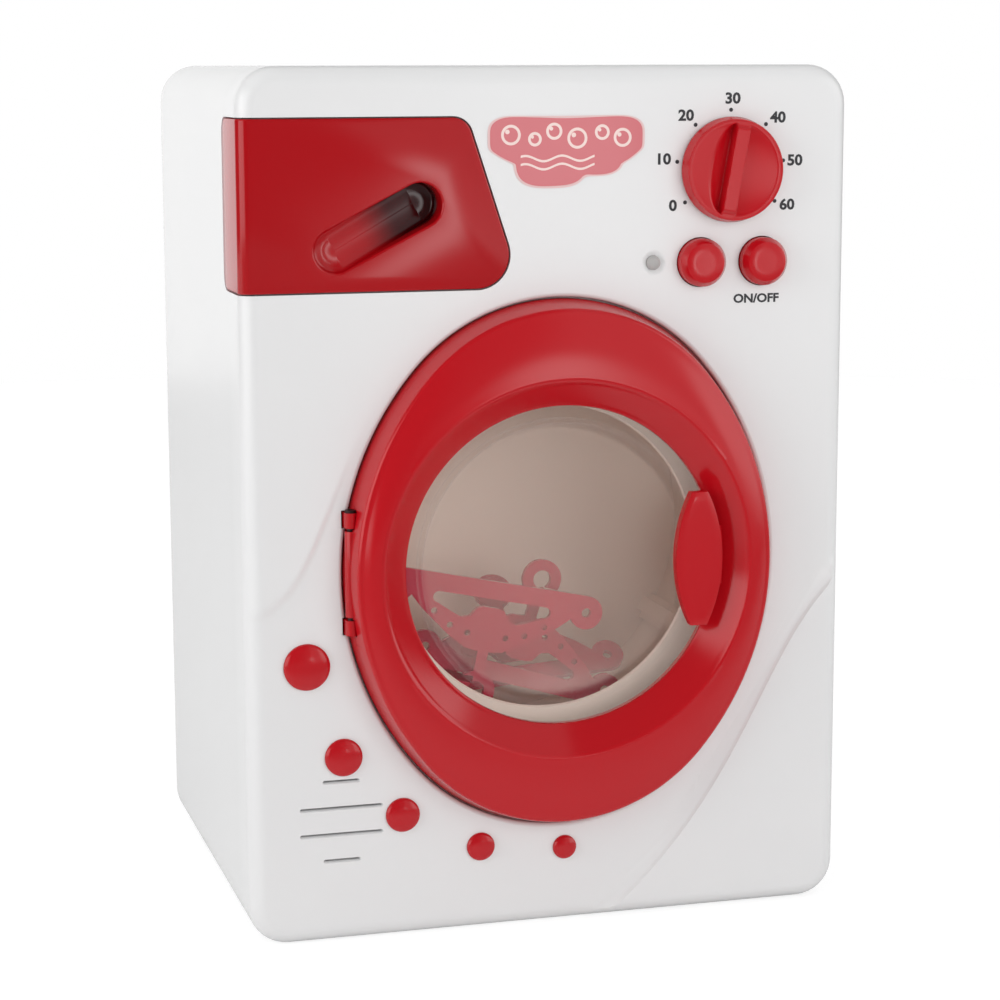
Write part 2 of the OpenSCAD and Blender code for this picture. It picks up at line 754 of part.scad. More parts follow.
module motor_pinion() {
    color([0.95, 0.93, 0.85]) difference() {
        gear(motor_at, motor_teeth, motor_angle + 180 + 180 / motor_teeth, large_y - 0.4,
            large_y + large_w + 0.4);
        bar(motor_at, 1, large_y - 1, plate_y);
    }
}

module motor_shaft() {
    color(steel) bar(motor_at, 1, large_y - 0.4, plate_y + plate_t + 16);
}

module motor() {
    y0 = plate_y + plate_t;
    color(steel) difference() {
        intersection() {
            bar(motor_at, motor_r, y0, y0 + motor_len);
            block([0, y0 - 1, motor_at[1] - 7.5], [90, y0 + motor_len + 1, motor_at[1] + 7.5]);
        }
        bar(motor_at, 1.05, y0 - 1, y0 + 17);
    }
}

module gear_cover() {
    y1 = plate_y + plate_t;
    color(white_abs) difference() {
        union() {
            slab(plate_y, y1) {
                polygon([post_at[0], [-20, 122], [38, 122], post_at[1], [62, 84], [58, 66],
                    post_at[2], [16, 56]]);
                for (p = post_at) translate(p) circle(4.5);
                translate(motor_at) circle(13);
            }
            bar(motor_at, motor_r + 1.8, plate_y, y1 + 7);
        }
        bar(motor_at, motor_r + running, y1, y1 + 8);
        bar(motor_at, 3, plate_y - 1, y1 + 1);
        bar(idler_at, idler_pin_r + running, plate_y - 1, y1 + 1);
        for (p = post_at) bar(p, 1.4, plate_y - 1, y1 + 1);
        bar(axis_at, 4, plate_y - 1, y1 + 1);
    }
}

module gearbox_screws() {
    color(steel) for (p = post_at) screw(p, plate_y + plate_t, 10, 1.1, 2.4, 1.6);
}

// ---------- drawer ----------

module drawer_front() {
    edge_x = -body_w / 2 + edge_r;
    high = drawer_top - drawer_bottom;
    color(red_abs) difference() {
        union() {
            slab(face_y, face_y + drawer_t) intersection() {
                drawer_outline(0);
                translate([edge_x, drawer_bottom - 1]) square([100, high + 2]);
            }
            // Round corner of the face
            translate([edge_x, face_y + edge_r, drawer_bottom]) difference() {
                cylinder(r = edge_r, h = high);
                translate([0, 0, -1]) cylinder(r = edge_r - drawer_t, h = high + 2);
                translate([0, -edge_r - 1, -1]) cube([edge_r + 1, 2 * edge_r + 2, high + 2]);
                translate([-edge_r - 1, 0, -1]) cube([2 * edge_r + 2, edge_r + 1, high + 2]);
            }
            // Wing on the side
            translate([-body_w / 2, 0, drawer_bottom]) rotate([90, 0, 90]) linear_extrude(drawer_t) {
                translate([face_y + edge_r, 0]) square([drawer_wrap - edge_r - 5, high]);
                translate([face_y + edge_r, 5]) square([drawer_wrap - edge_r, high - 10]);
                for (z = [5, high - 5]) translate([face_y + drawer_wrap - 5, z]) circle(5);
            }
            slab(face_y + 0.5, face_y + 13) finger_outline(1.3);
        }
        // Scooped pocket: shallow at the left, deep at the right
        intersection() {
            slab(face_y - 2, face_y + 12) finger_outline(0);
            translate([finger[0][0], face_y + 1.8, 0]) rotate([0, 0, 16.5])
                translate([-30, -40, 180]) cube([90, 40, 70]);
        }
    }
}

module drawer_tray() {
    x0 = tray_x[0];
    x1 = tray_x[1];
    z0 = tray_z[0];
    z1 = tray_z[1] - 2;
    t = 1.6;
    y0 = face_y + drawer_t;
    color(white_abs) difference() {
        block([x0, y0, z0], [x1, tray_y[1], z1]);
        block([x0 + t, y0 + t, z0 + t], [x1 - t, face_y + 14.4, z1 + 1]);
        for (i = [0:2]) block([x0 + t + i * (x1 - x0 - t) / 3, face_y + 16, z0 + t],
            [x0 + (i + 1) * (x1 - x0 - t) / 3, tray_y[1] - t, z1 + 1]);
        slab(y0 - 1, y0 + t + 1) finger_outline(1.35);
    }
}

module drawer_guide() {
    t = 1.6;
    x0 = tray_x[0] - 0.6;
    x1 = tray_x[1] + 0.6;
    z0 = tray_z[0] - 0.6;
    z1 = tray_z[1] + 0.4;
    color([0.86, 0.86, 0.85]) difference() {
        union() {
            slab(inner_y, inner_y + 1.4) difference() {
                drawer_outline(3.4);
                translate([-190, 180]) square([100, 90]);
            }
            block([-body_w / 2 + wall, face_y + 5, 194.5], [-body_w / 2 + wall + 1.2, face_y + 29, 253]);
            block([-body_w / 2 + wall + 0.6, inner_y + 1, 194.5], [-89, face_y + 6, 253]);
            block([x0 - t, inner_y + 0.5, z0 - t], [x1 + t, tray_y[1] + 1 + t, z1 + t]);
        }
        block([x0, inner_y - 1, z0], [x1, tray_y[1] + 1, z1]);
        slab(inner_y - 1, floor_back + 3) door_oval(recess_gap + wall + 0.3);
    }
}

// ---------- controls ----------

module dial_knob() {
    front = face_y - button_proud;
    color(red_abs) difference() {
        union() {
            turned([dial_x, dial_z], [[0, face_y - 0.4], [dial_r, face_y - 0.4], [dial_r, face_y - 2.4],
                [dial_r - 0.6, front], [0, front]]);
            // Grip bar
            slab(front - 1.5, front + 1) translate([dial_x, dial_z]) rotate(-dial_rest) {
                square([3.6, 24], center = true);
                for (s = [-1, 1]) translate([0, 12 * s]) circle(1.8);
            }
            bar([dial_x, dial_z], stem_r, face_y - 1, face_y + 11.4);
        }
        // Thumb hollow on the left of the bar
        translate([dial_x, 0, dial_z]) rotate([0, dial_rest, 0]) intersection() {
            translate([-9.4, front - 13.8, 0]) sphere(16);
            block([-14.4, front - 1, -14], [-1.9, front + 3, 14]);
        }
        // Flat for the ratchet wheel
        translate([dial_x, 0, dial_z]) block([-5, face_y + 8.2, 2.6], [5, face_y + 12, 5]);
    }
}

module dial_clip() {
    teeth = 24;
    color([0.9, 0.9, 0.88]) translate([dial_x, 0, dial_z]) difference() {
        slab(face_y + 8.3, face_y + 11.3) difference() {
            polygon([for (i = [0:teeth - 1]) for (k = [0, 1])
                (k == 0 ? 9 : 8.3) * [cos((i + k / 2) * 360 / teeth), sin((i + k / 2) * 360 / teeth)]]);
            intersection() {
                circle(stem_r + 0.02);
                translate([-5, -5]) square([10, 7.62]);
            }
        }
    }
}

module detent_spring() {
    y0 = face_y + 8.5;
    y1 = face_y + 11;
    color(steel) difference() {
        union() {
            for (p = detent_posts) bar(p, 3, y0, y1);
            block([dial_x + 9.2, y0, dial_z - 12], [dial_x + 9.8, y1, dial_z + 12]);
        }
        for (p = detent_posts) bar(p, 1.82, y0 - 1, y1 + 1);
    }
}

module push_button(x) {
    front = face_y - button_proud;
    r = button_r;
    color(red_abs) turned([x, button_z], [[0, front], [r - 1, front], [r, front + 1.3], [r, face_y + 5.4],
        [r - 1.5, face_y + 5.4], [r - 1.5, front + 1.7], [2, front + 1.7], [2, face_y + 10.3],
        [r + 1.2, face_y + 10.3], [r + 1.2, face_y + 11.8], [2, face_y + 11.8], [2, face_y + 13.7],
        [0, face_y + 13.7]]);
}
module start_button() {
    push_button(start_x);
}
module power_button() {
    push_button(power_x);
}

// Square-wire coil between the button's collar and the board
module coil(x) {
    turns = 4;
    y0 = face_y + 11.85;
    span = board_y - y0 - 0.05;
    arc = 150;
    color(steel) translate([x, board_y - 0.05, button_z]) rotate([90, 0, 0])
        linear_extrude(height = span, twist = -360 * turns, slices = 16 * turns, $fn = 12)
            polygon(concat(
                [for (i = [0:8]) 5 * [cos(arc * i / 8), sin(arc * i / 8)]],
                [for (i = [8:-1:0]) 5.8 * [cos(arc * i / 8), sin(arc * i / 8)]]));
}
module start_button_spring() {
    coil(start_x);
}
module power_button_spring() {
    coil(power_x);
}

module circuit_board() {
    y1 = board_y + board_t;
    difference() {
        union() {
            color([0.1, 0.45, 0.25]) block([board_x[0], board_y, board_z[0]], [board_x[1], y1, board_z[1]]);
            color([0.1, 0.1, 0.1]) {
                block([50, y1, 208], [63, y1 + 2.2, 215]);
                block([36, y1, 196], [44, y1 + 1.6, 202]);
                translate([70, y1 + 9, 216]) rotate([90, 0, 0]) cylinder(r = 4, h = 9);
                block([30, y1, 206], [36, y1 + 5, 216]);
            }
        }
        for (p = board_posts) bar(p, 1.4, board_y - 1, y1 + 1);
        for (x = [-1.27, 1.27]) bar(led_at + [x, 0], 0.4, board_y - 1, board_y + 1);
    }
}

module tact_switches() {
    color([0.15, 0.15, 0.15]) for (x = [start_x, power_x]) {
        block([x - 3, board_y - 3.5, button_z - 3], [x + 3, board_y, button_z + 3]);
        bar([x, button_z], 1.7, board_y - 4.2, board_y - 3);
    }
}

module board_screws() {
    color(steel) {
        for (p = board_posts) screw(p, board_y + board_t, 9, 1.1, 2.4, 1.4);
        for (p = speaker_posts) screw(p, face_y + 6.5, 3.6, 0.9, 2, 1);
    }
}

module led_lens() {
    color(clear_ps) {
        bar(led_at, 2.2, face_y + 0.2, inner_y + 0.5);
        bar(led_at, 3.3, inner_y, inner_y + 1);
        intersection() {
            translate([led_at[0], face_y + 1.9, led_at[1]]) sphere(2.8);
            bar(led_at, 2.2, face_y - 1, face_y + 0.3);
        }
    }
}

module led_lamp() {
    color([0.9, 0.3, 0.2]) {
        bar(led_at, 1.9, inner_y + 1.1, inner_y + 6);
        bar(led_at, 2.3, inner_y + 5, inner_y + 6);
    }
    color(steel) for (x = [-1.27, 1.27]) bar(led_at + [x, 0], 0.25, inner_y + 5.5, board_y + 0.8);
}

// ---------- speaker ----------

module speaker() {
    at = [speaker_x, speaker_z];
    color([0.15, 0.15, 0.16]) difference() {
        turned(at, [[0, inner_y], [speaker_r, inner_y], [speaker_r, face_y + 5], [13, face_y + 5],
            [8.5, face_y + 9.5], [8.5, face_y + 15], [0, face_y + 15]]);
        turned(at, [[0, inner_y - 1], [12, inner_y - 1], [12, inner_y + 0.8], [4, inner_y + 4.5],
            [0, inner_y + 3.4]]);
    }
}

module speaker_clamp() {
    at = [speaker_x, speaker_z];
    color(white_abs) difference() {
        union() {
            bar(at, speaker_r + 0.8, face_y + 5, face_y + 6.5);
            for (p = speaker_posts) bar(p, 3.6, face_y + 5, face_y + 6.5);
        }
        bar(at, 13.1, face_y + 4, face_y + 8);
        for (p = speaker_posts) bar(p, 1.1, face_y + 4, face_y + 8);
    }
}

// ---------- trim ----------

// Domed plug with a prong through the front
module trim_dot(d) {
    at = [d[0], d[1]];
    high = 0.9 + d[2] * 0.14;
    ball = (d[2] * d[2] + high * high) / (2 * high);
    color(red_abs) {
        intersection() {
            translate([d[0], face_y - high - 0.3 + ball, d[1]]) sphere(ball);
            bar(at, d[2], face_y - 4, face_y);
        }
        bar(at, 1.95, face_y - 0.4, inner_y + 2);
    }
}
module trim_dot_1() {
    trim_dot(trim_dots[0]);
}
module trim_dot_2() {
    trim_dot(trim_dots[1]);
}
module trim_dot_3() {
    trim_dot(trim_dots[2]);
}
module trim_dot_4() {
    trim_dot(trim_dots[3]);
}
module trim_dot_5() {
    trim_dot(trim_dots[4]);
}

module label_plate() {
    color([0.85, 0.45, 0.47]) slab(face_y - 0.3, face_y)
        translate([4.35, 238.35]) round_rect(49.1, 21.7, 3.4);
}

// ---------- hangers ----------

// Flat clothes hanger: bar along the bottom, sloping shoulders with holes, ring hook at the top
module hanger_outline() {
    difference() {
        union() {
            translate([-31, -5.3]) square([62, 5.6]);
            for (s = [-1, 1]) translate([31 * s, 0]) circle(5.3);
            polygon([[28, -1], [26.3, 2.7], [22.2, 6.4], [12.1, 13.5], [6, 16.6], [0, 17.4],
                [-6, 16.6], [-12.1, 13.5], [-22.2, 6.4], [-26.3, 2.7], [-28, -1]]);
            translate([-1.75, 16]) square([3.5, 9]);
            translate([0, 29.6]) circle(6.3);
        }
        for (s = [-1, 1]) {
            translate([31 * s, 0]) circle(1.5);
            translate([6.3 * s, 11.9]) circle(1);
            translate([12.3 * s, 10.3]) circle(1);
            translate([18.2 * s, 6.6]) circle(1);
            translate([17.6 * s, 2.1]) circle(1.8);
        }
        polygon([[-17.6, 0.3], [17.6, 0.3], [18.3, 3.6], [12.5, 6.1], [9, 7.3], [6.4, 6.5], [4.4, 3.6],
            [2.6, 3], [-2.6, 3], [-4.4, 3.6], [-6.4, 6.5], [-9, 7.3], [-12.5, 6.1], [-18.3, 3.6]]);
        translate([0, 29.6]) circle(2.9);
        translate([1.5, 25.2]) square([6, 2.2]);
    }
}

module hanger(at, y, turn, lean) {
    color(hanger_red) translate([at[0], y, at[1]]) rotate([lean, -turn, 0])
        slab(-1, 1) hanger_outline();
}
module hanger_a() {
    hanger([-13.3, 100], -54, 168, 0);
}
module hanger_b() {
    hanger([-3.8, 75.2], -46, -17, 0);
}
module hanger_c() {
    hanger([-2, 73.5], -39.5, 4, -45);
}

front_shell();
rear_cover();
cover_screws();
battery_door();
battery_door_screw();
battery_box();
battery_cells();
battery_contacts();
door_ring();
door_window();
window_clamp();
door_screws();
door_pull();
hinge_bracket();
hinge_pin();
door_catch();
drum_housing();
housing_screws();
drum();
drum_shaft();
shaft_bush();
drum_gear();
idler_gear();
idler_pin();
motor_pinion();
motor_shaft();
motor();
gear_cover();
gearbox_screws();
drawer_front();
drawer_tray();
drawer_guide();
dial_knob();
dial_clip();
detent_spring();
start_button();
power_button();
start_button_spring();
power_button_spring();
circuit_board();
tact_switches();
board_screws();
led_lens();
led_lamp();
speaker();
speaker_clamp();
trim_dot_1();
trim_dot_2();
trim_dot_3();
trim_dot_4();
trim_dot_5();
label_plate();
hanger_a();
hanger_b();
hanger_c();
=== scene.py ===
# %% [markdown]
# # A toy washing machine, dressed for the camera
#
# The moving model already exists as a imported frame: every wheel, screw and hinge is in its place.
# This notebook gives that frame its moulded skin. Each visible piece is made as the toolmaker would
# think of it: a profile turned round an axis, a ring carried along an oval, or a sheet with holes cut.

# %% Load the frame
import json
import math

import bmesh
import bpy
import numpy as np
from mathutils import Matrix, Vector


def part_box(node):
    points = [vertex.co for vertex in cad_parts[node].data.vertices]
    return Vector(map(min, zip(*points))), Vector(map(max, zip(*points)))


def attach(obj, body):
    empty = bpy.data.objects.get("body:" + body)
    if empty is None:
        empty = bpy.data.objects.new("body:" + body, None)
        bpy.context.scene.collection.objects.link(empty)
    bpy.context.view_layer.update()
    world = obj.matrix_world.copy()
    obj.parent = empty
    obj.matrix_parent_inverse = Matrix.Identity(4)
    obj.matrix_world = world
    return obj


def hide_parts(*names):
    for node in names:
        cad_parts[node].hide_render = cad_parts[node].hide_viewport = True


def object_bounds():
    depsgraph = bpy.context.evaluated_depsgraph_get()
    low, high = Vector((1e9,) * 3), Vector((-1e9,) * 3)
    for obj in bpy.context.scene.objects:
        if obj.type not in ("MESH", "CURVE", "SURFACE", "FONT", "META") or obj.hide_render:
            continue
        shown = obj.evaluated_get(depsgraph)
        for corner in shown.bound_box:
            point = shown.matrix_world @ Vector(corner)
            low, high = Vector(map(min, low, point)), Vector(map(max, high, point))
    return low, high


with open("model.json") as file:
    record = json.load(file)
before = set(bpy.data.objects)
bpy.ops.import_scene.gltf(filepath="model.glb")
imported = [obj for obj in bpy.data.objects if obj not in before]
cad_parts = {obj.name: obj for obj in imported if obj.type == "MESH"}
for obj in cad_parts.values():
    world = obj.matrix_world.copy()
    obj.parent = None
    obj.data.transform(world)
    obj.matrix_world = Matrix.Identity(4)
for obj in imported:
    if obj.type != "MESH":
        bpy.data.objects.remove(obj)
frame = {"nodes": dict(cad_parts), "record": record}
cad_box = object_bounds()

MM = 0.001
scene = bpy.context.scene

# %% [markdown]
# ## Sizes read from the frame
#
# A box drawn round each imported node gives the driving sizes, so the skin follows the frame if the frame
# changes. Everything below is in millimetres, and it becomes metres only as a mesh is made.


# %% Read the sizes
def corners(node):
    """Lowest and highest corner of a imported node, in millimetres."""
    low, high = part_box(node)
    return np.array(low) / MM, np.array(high) / MM


shell_low, shell_high = corners("front_shell")
STEP = 1.0  # height of the swept step low on the right
FACE = shell_low[1] + STEP
SEAM = shell_high[1]
WIDE = shell_high[0] - shell_low[0]
HIGH = shell_high[2] - shell_low[2]
MIDDLE = np.array([0.0, HIGH / 2])
CORNER, EDGE, WALL = 12.0, 5.0, 2.4
ring_low, ring_high = corners("door_ring")
RING_B = (ring_high[2] - ring_low[2]) / 2 + 0.15
DOOR = np.array([2.5, (ring_low[2] + ring_high[2]) / 2])
RING_A = ring_high[0] - DOOR[0]
RIDGE_Y = ring_low[1]
RING_Y = RIDGE_Y + 2.0
RING_BACK = ring_high[1]
drum_low, drum_high = corners("drum")
AXIS = np.array([(drum_low[0] + drum_high[0]) / 2, (drum_low[2] + drum_high[2]) / 2])
print(f"cabinet {WIDE:.0f} x {HIGH:.0f} mm, face at {FACE:.1f}, ring {RING_A:.1f} x {RING_B:.1f}")

# %% [markdown]
# ## Meshes from arrays
#
# A lofted surface is a grid of points: one row for each station and one column for each place round the
# loop. Joining neighbours gives four-sided faces. A closed loft is a solid, and solids can be cut from
# each other, which is how the holes and pockets of a moulding are made here.


# %% Lofts and solids
def loft(rows, ring=False):
    """Points and faces of a surface through rows of points. Row i, column j joins its four neighbours;
    columns always close round, and the end rows get a lid unless the rows close on themselves."""
    rows = np.asarray(rows, float)
    nu, nv = rows.shape[:2]
    u = np.arange(nu if ring else nu - 1)[:, None]
    v = np.arange(nv)[None, :]
    u1, v1 = (u + 1) % nu, (v + 1) % nv
    faces = np.stack([u * nv + v, u * nv + v1, u1 * nv + v1, u1 * nv + v], -1).reshape(-1, 4).tolist()
    if not ring:
        faces += [list(range(nv)), list(range((nu - 1) * nv, nu * nv))]
    return rows.reshape(-1, 3), faces


def solid(rows, ring=False):
    """Mesh in metres of the loft through rows in millimetres, welded, with its faces turned outwards."""
    points, faces = loft(rows, ring)
    mesh = bpy.data.meshes.new("solid")
    mesh.from_pydata((points * MM).tolist(), [], faces)
    work = bmesh.new()
    work.from_mesh(mesh)
    bmesh.ops.remove_doubles(work, verts=work.verts, dist=1e-7)
    bmesh.ops.recalc_face_normals(work, faces=work.faces)
    work.to_mesh(mesh)
    work.free()
    return mesh


def carve(base, *steps):
    """Mesh that results from joining ("UNION"), cutting ("DIFFERENCE") or keeping ("INTERSECT") solids."""
    piece = bpy.data.objects.new("work", base)
    scene.collection.objects.link(piece)
    tools = []
    for how, mesh in steps:
        tool = bpy.data.objects.new("tool", mesh)
        scene.collection.objects.link(tool)
        cut = piece.modifiers.new(how, "BOOLEAN")
        cut.operation, cut.object, cut.solver = how, tool, "MANIFOLD"
        tools.append(tool)
    graph = bpy.context.evaluated_depsgraph_get()
    result = bpy.data.meshes.new_from_object(piece.evaluated_get(graph))
    for used in [piece, *tools]:
        bpy.data.objects.remove(used)
    return result


def soften(mesh, width, angle=40, segments=3):
    """Round the mesh's sharp edges to a radius in millimetres, as a mould's edges are."""
    work = bmesh.new()
    work.from_mesh(mesh)
    sharp = [e for e in work.edges if len(e.link_faces) == 2 and e.calc_face_angle() > math.radians(angle)]
    bmesh.ops.bevel(work, geom=sharp, offset=width * MM, segments=segments, profile=0.5, affect="EDGES",
                    clamp_overlap=True)
    work.to_mesh(mesh)
    work.free()
    return mesh


def place(name, mesh, body, slot, finish, *nodes, angle=35):
    """Add a finished piece: smooth but for edges sharper than angle, riding on a body."""
    mesh.name = name
    mesh.materials.clear()
    mesh.materials.append(finish)
    mesh.shade_smooth()
    mesh.set_sharp_from_angle(angle=math.radians(angle))
    piece = bpy.data.objects.new(name, mesh)
    scene.collection.objects.link(piece)
    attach(piece, body)
    if nodes:
        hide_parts(*nodes)
    print(f"{name}: {len(mesh.polygons)} faces on {body}")
    return piece


# %% [markdown]
# ## Outlines
#
# Seen from the front, each opening is a loop in the plane of x and z: a rounded rectangle, an oval of
# four arcs, a slot with round ends, or a circle. A loop becomes a solid when it is carried along y.


# %% Loops in the front plane
TURN = np.linspace(0, 2 * np.pi, 256, endpoint=False)


def circle(at, r, turn=TURN):
    """Points at distance r round a centre. r may differ from angle to angle."""
    return np.stack([at[0] + r * np.cos(turn), at[1] + r * np.sin(turn)], -1)


def oval_radius(a, b, turn=TURN):
    """Distance from the centre to a four-arc oval: the end arc where it is met first, else the side arc.
    A ray meets an arc centred at C with radius R at t = d.C + sqrt((d.C)^2 - |C|^2 + R^2)."""
    r = a - (b - a) * 0.6
    c = b - r
    s = (a * a + c * c - r * r) / (2 * (a - r))
    cos, sin = np.abs(np.cos(turn)), np.abs(np.sin(turn))
    side = -cos * (s - a) + np.sqrt((cos * (s - a)) ** 2 - (s - a) ** 2 + s * s)
    end = sin * c + np.sqrt((sin * c) ** 2 - c * c + r * r)
    meet = c * s / np.hypot(s - a, c)
    return np.where(side * sin < meet, side, end)


def oval(a, b, turn=TURN):
    """Loop of the four-arc oval round the door's centre."""
    return circle(DOOR, oval_radius(a, b, turn), turn)


def capsule(start, end, r, n=24):
    """Slot outline: a half circle round each end of a segment, n points to each."""
    start, end = np.array(start, float), np.array(end, float)
    lean = math.atan2(*(end - start)[::-1])
    arc = np.linspace(-np.pi / 2, np.pi / 2, n)
    return np.concatenate([circle(end, r, lean + arc), circle(start, r, lean + np.pi + arc)])


def round_rect(half_w, half_h, r, at, n_side=120, n_high=170, n_corner=10):
    """Rounded rectangle: four quarter circles, with evenly spaced points on the sides between them."""
    loops = []
    arc = np.linspace(0, np.pi / 2, n_corner)
    signs = [(1, 1), (-1, 1), (-1, -1), (1, -1)]
    for k, (sx, sz) in enumerate(signs):
        centre = (at[0] + sx * (half_w - r), at[1] + sz * (half_h - r))
        loops.append(circle(centre, r, arc + k * np.pi / 2))
    out = []
    for k in range(4):
        n = n_side if k % 2 == 0 else n_high
        gap = np.linspace(0, 1, n + 2)[1:-1, None]
        here, there = loops[k], loops[(k + 1) % 4]
        out += [here, here[-1] * (1 - gap) + there[0] * gap]
    return np.concatenate(out)


def at_depth(loop, y):
    """Points (x, y, z) of a loop of (x, z) at one depth, or at a depth for each point."""
    return np.stack([loop[:, 0], np.broadcast_to(y, len(loop)), loop[:, 1]], -1)


def prism(loop, y0, y1):
    """Solid of one loop carried from y0 to y1."""
    return solid([at_depth(loop, y0), at_depth(loop, y1)])


def turned(at, profile, turn=TURN):
    """Solid of revolution about the depth axis through a point. profile is a list of (radius, y)."""
    return solid([at_depth(circle(at, max(r, 0.001), turn), y) for r, y in profile])


print("oval reaches", oval(RING_A, RING_B)[:, 1].max().round(2))

# %% [markdown]
# ## Shader maths in Python
#
# A material is a small program. This class wraps one socket, so that `noise * 0.5 + 0.2` adds the nodes
# that work it out. Any other node comes from one method, which sets the node's choices and then its
# sockets, from numbers or from other sockets.


# %% Sockets and finishes
class Value:
    """A number on the surface. Each operator adds the Math node that computes it."""

    def __init__(self, finish, socket):
        self.finish, self.socket = finish, socket

    def maths(self, operation, first, second=0.0):
        return self.finish.node("ShaderNodeMath", {"operation": operation}, {0: first, 1: second})

    def __add__(self, other):
        return self.maths("ADD", self, other)

    def __sub__(self, other):
        return self.maths("SUBTRACT", self, other)

    def __rsub__(self, other):
        return self.maths("SUBTRACT", other, self)

    def __mul__(self, other):
        return self.maths("MULTIPLY", self, other)

    def __pow__(self, other):
        return self.maths("POWER", self, other)

    def __lt__(self, other):
        return self.maths("LESS_THAN", self, other)

    __radd__, __rmul__ = __add__, __mul__

    def highest(self, other):
        return self.maths("MAXIMUM", self, other)

    def size(self):
        return self.maths("ABSOLUTE", self)


class Nodes:
    """A node tree, and the one method that adds to it."""

    def __init__(self, tree):
        self.tree = tree
        tree.nodes.clear()

    def plug(self, socket, value):
        if isinstance(value, Value):
            self.tree.links.new(value.socket, socket)
        elif hasattr(socket.default_value, "__len__") and len(socket.default_value) == 4:
            socket.default_value = (*value, 1.0)[:4]
        else:
            socket.default_value = value

    def node(self, kind, settings=None, values=None, out=0):
        """Add a node, choose its settings, fill its sockets, and return one of its outputs."""
        node = self.tree.nodes.new(kind)
        for name, choice in (settings or {}).items():
            setattr(node, name, choice)
        for key, value in (values or {}).items():
            self.plug(node.inputs[key], value)
        return Value(self, node.outputs[out] if node.outputs else None)

    def where(self):
        """Place on the object, as a vector in metres."""
        return self.node("ShaderNodeTexCoord", out="Object")

    def noise(self, scale, detail=2.0, rough=0.5):
        return self.node("ShaderNodeTexNoise", {}, {"Vector": self.where(), "Scale": scale,
                                                    "Detail": detail, "Roughness": rough})

    def part(self, vector, axis):
        return self.node("ShaderNodeSeparateXYZ", {}, {0: vector}, out=axis)

    def mm(self, axis):
        """One coordinate of the place on the object, in millimetres."""
        return self.part(self.where(), axis) * 1000.0

    def smooth(self, value, start, end):
        """0 below start, 1 above end, and an even curve between."""
        return self.node("ShaderNodeMapRange", {"interpolation_type": "SMOOTHSTEP"},
                         {0: value, 1: start, 2: end})

    def ray(self, *kinds):
        """1 for a ray of any of these kinds."""
        path = [self.node("ShaderNodeLightPath", out=kind) for kind in kinds]
        return path[0] if len(path) == 1 else path[0].highest(self.ray(*kinds[1:]))

    def between(self, factor, first, second):
        """Colour that runs from first to second as factor runs from 0 to 1."""
        return self.node("ShaderNodeMix", {"data_type": "RGBA"}, {0: factor, 6: first, 7: second}, out=2)

    def blend(self, factor, first, second):
        """Shader that runs from first to second as factor runs from 0 to 1."""
        return self.node("ShaderNodeMixShader", {}, {0: factor, 1: first, 2: second})

    def bump(self, height, strength, distance):
        return self.node("ShaderNodeBump", {}, {"Height": height, "Strength": strength,
                                                "Distance": distance})


class Finish(Nodes):
    """A material with one Principled shader. values sets that shader's plain sockets."""

    def __init__(self, name, **values):
        self.material = bpy.data.materials.new(name)
        self.material.use_nodes = True
        super().__init__(self.material.node_tree)
        self.shader = self.tree.nodes.new("ShaderNodeBsdfPrincipled")
        self.gloss = Value(self, self.shader.outputs[0])
        self.out = self.tree.nodes.new("ShaderNodeOutputMaterial")
        self.show(self.gloss)
        self.wear(**values)

    def show(self, shader):
        self.tree.links.new(shader.socket, self.out.inputs["Surface"])

    def wear(self, **values):
        """Set or link the shader's sockets: Base_Color=(r, g, b), Roughness=0.3 and so on."""
        for name, value in values.items():
            self.plug(self.shader.inputs[name.replace("_", " ")], value)


print("shader class ready")

# %% [markdown]
# ## The plastics
#
# Glossy ABS is almost flawless, yet never a flat colour: the gloss wanders a little where the plastic
# cooled, and the surface has a very faint ripple. Both come from slow noise, in the object's own
# coordinates, so that they stay with the plastic when a piece moves.


# %% Mouldings
def moulded(name, colour, shade, rough=0.25, ripple=0.05, coat=0.3, drift=0.06):
    """Glossy moulded plastic: colour drifts towards shade, and roughness wanders by drift."""
    finish = Finish(name, IOR=1.5, Coat_Weight=coat, Coat_Roughness=0.08)
    cloud = finish.noise(18.0, 3.0)
    fine = finish.noise(420.0, 2.0)
    finish.wear(Base_Color=finish.between(cloud, colour, shade),
                Roughness=cloud * drift + (rough - drift / 2),
                Normal=finish.bump(cloud + fine * 0.08, ripple, 0.0006))
    return finish.material


white_abs = moulded("white_abs", (0.80, 0.80, 0.80), (0.77, 0.77, 0.775), rough=0.26, ripple=0.03, coat=0.1)
red_abs = moulded("red_abs", (0.50, 0.004, 0.010), (0.47, 0.004, 0.009), rough=0.16, coat=0.0)
drum_plastic = moulded("drum_plastic", (0.96, 0.82, 0.72), (0.94, 0.80, 0.70), rough=0.45, ripple=0.01,
                       coat=0.0)
grey_plastic = moulded("grey_plastic", (0.36, 0.36, 0.36), (0.32, 0.32, 0.33), rough=0.5, coat=0.0)
black_plastic = moulded("black_plastic", (0.02, 0.02, 0.022), (0.015, 0.015, 0.016), rough=0.45, coat=0.0)
gear_plastic = moulded("gear_plastic", (0.75, 0.72, 0.62), (0.70, 0.67, 0.58), rough=0.42, coat=0.0)
cell_wrap = moulded("cell_wrap", (0.03, 0.05, 0.09), (0.025, 0.04, 0.08), rough=0.3)
board_green = moulded("board_green", (0.02, 0.16, 0.07), (0.015, 0.13, 0.055), rough=0.35, coat=0.4)
ink = moulded("ink", (0.035, 0.035, 0.04), (0.03, 0.03, 0.034), rough=0.5, coat=0.0)
print("mouldings and ink ready")

# %% [markdown]
# ## Metals
#
# Springs, screws and shafts are plated steel, and a plain bearing is bronze. A metal is nothing but its
# gloss, so it needs only a tint and a roughness, and the roughness drifts as a tumbled finish does.


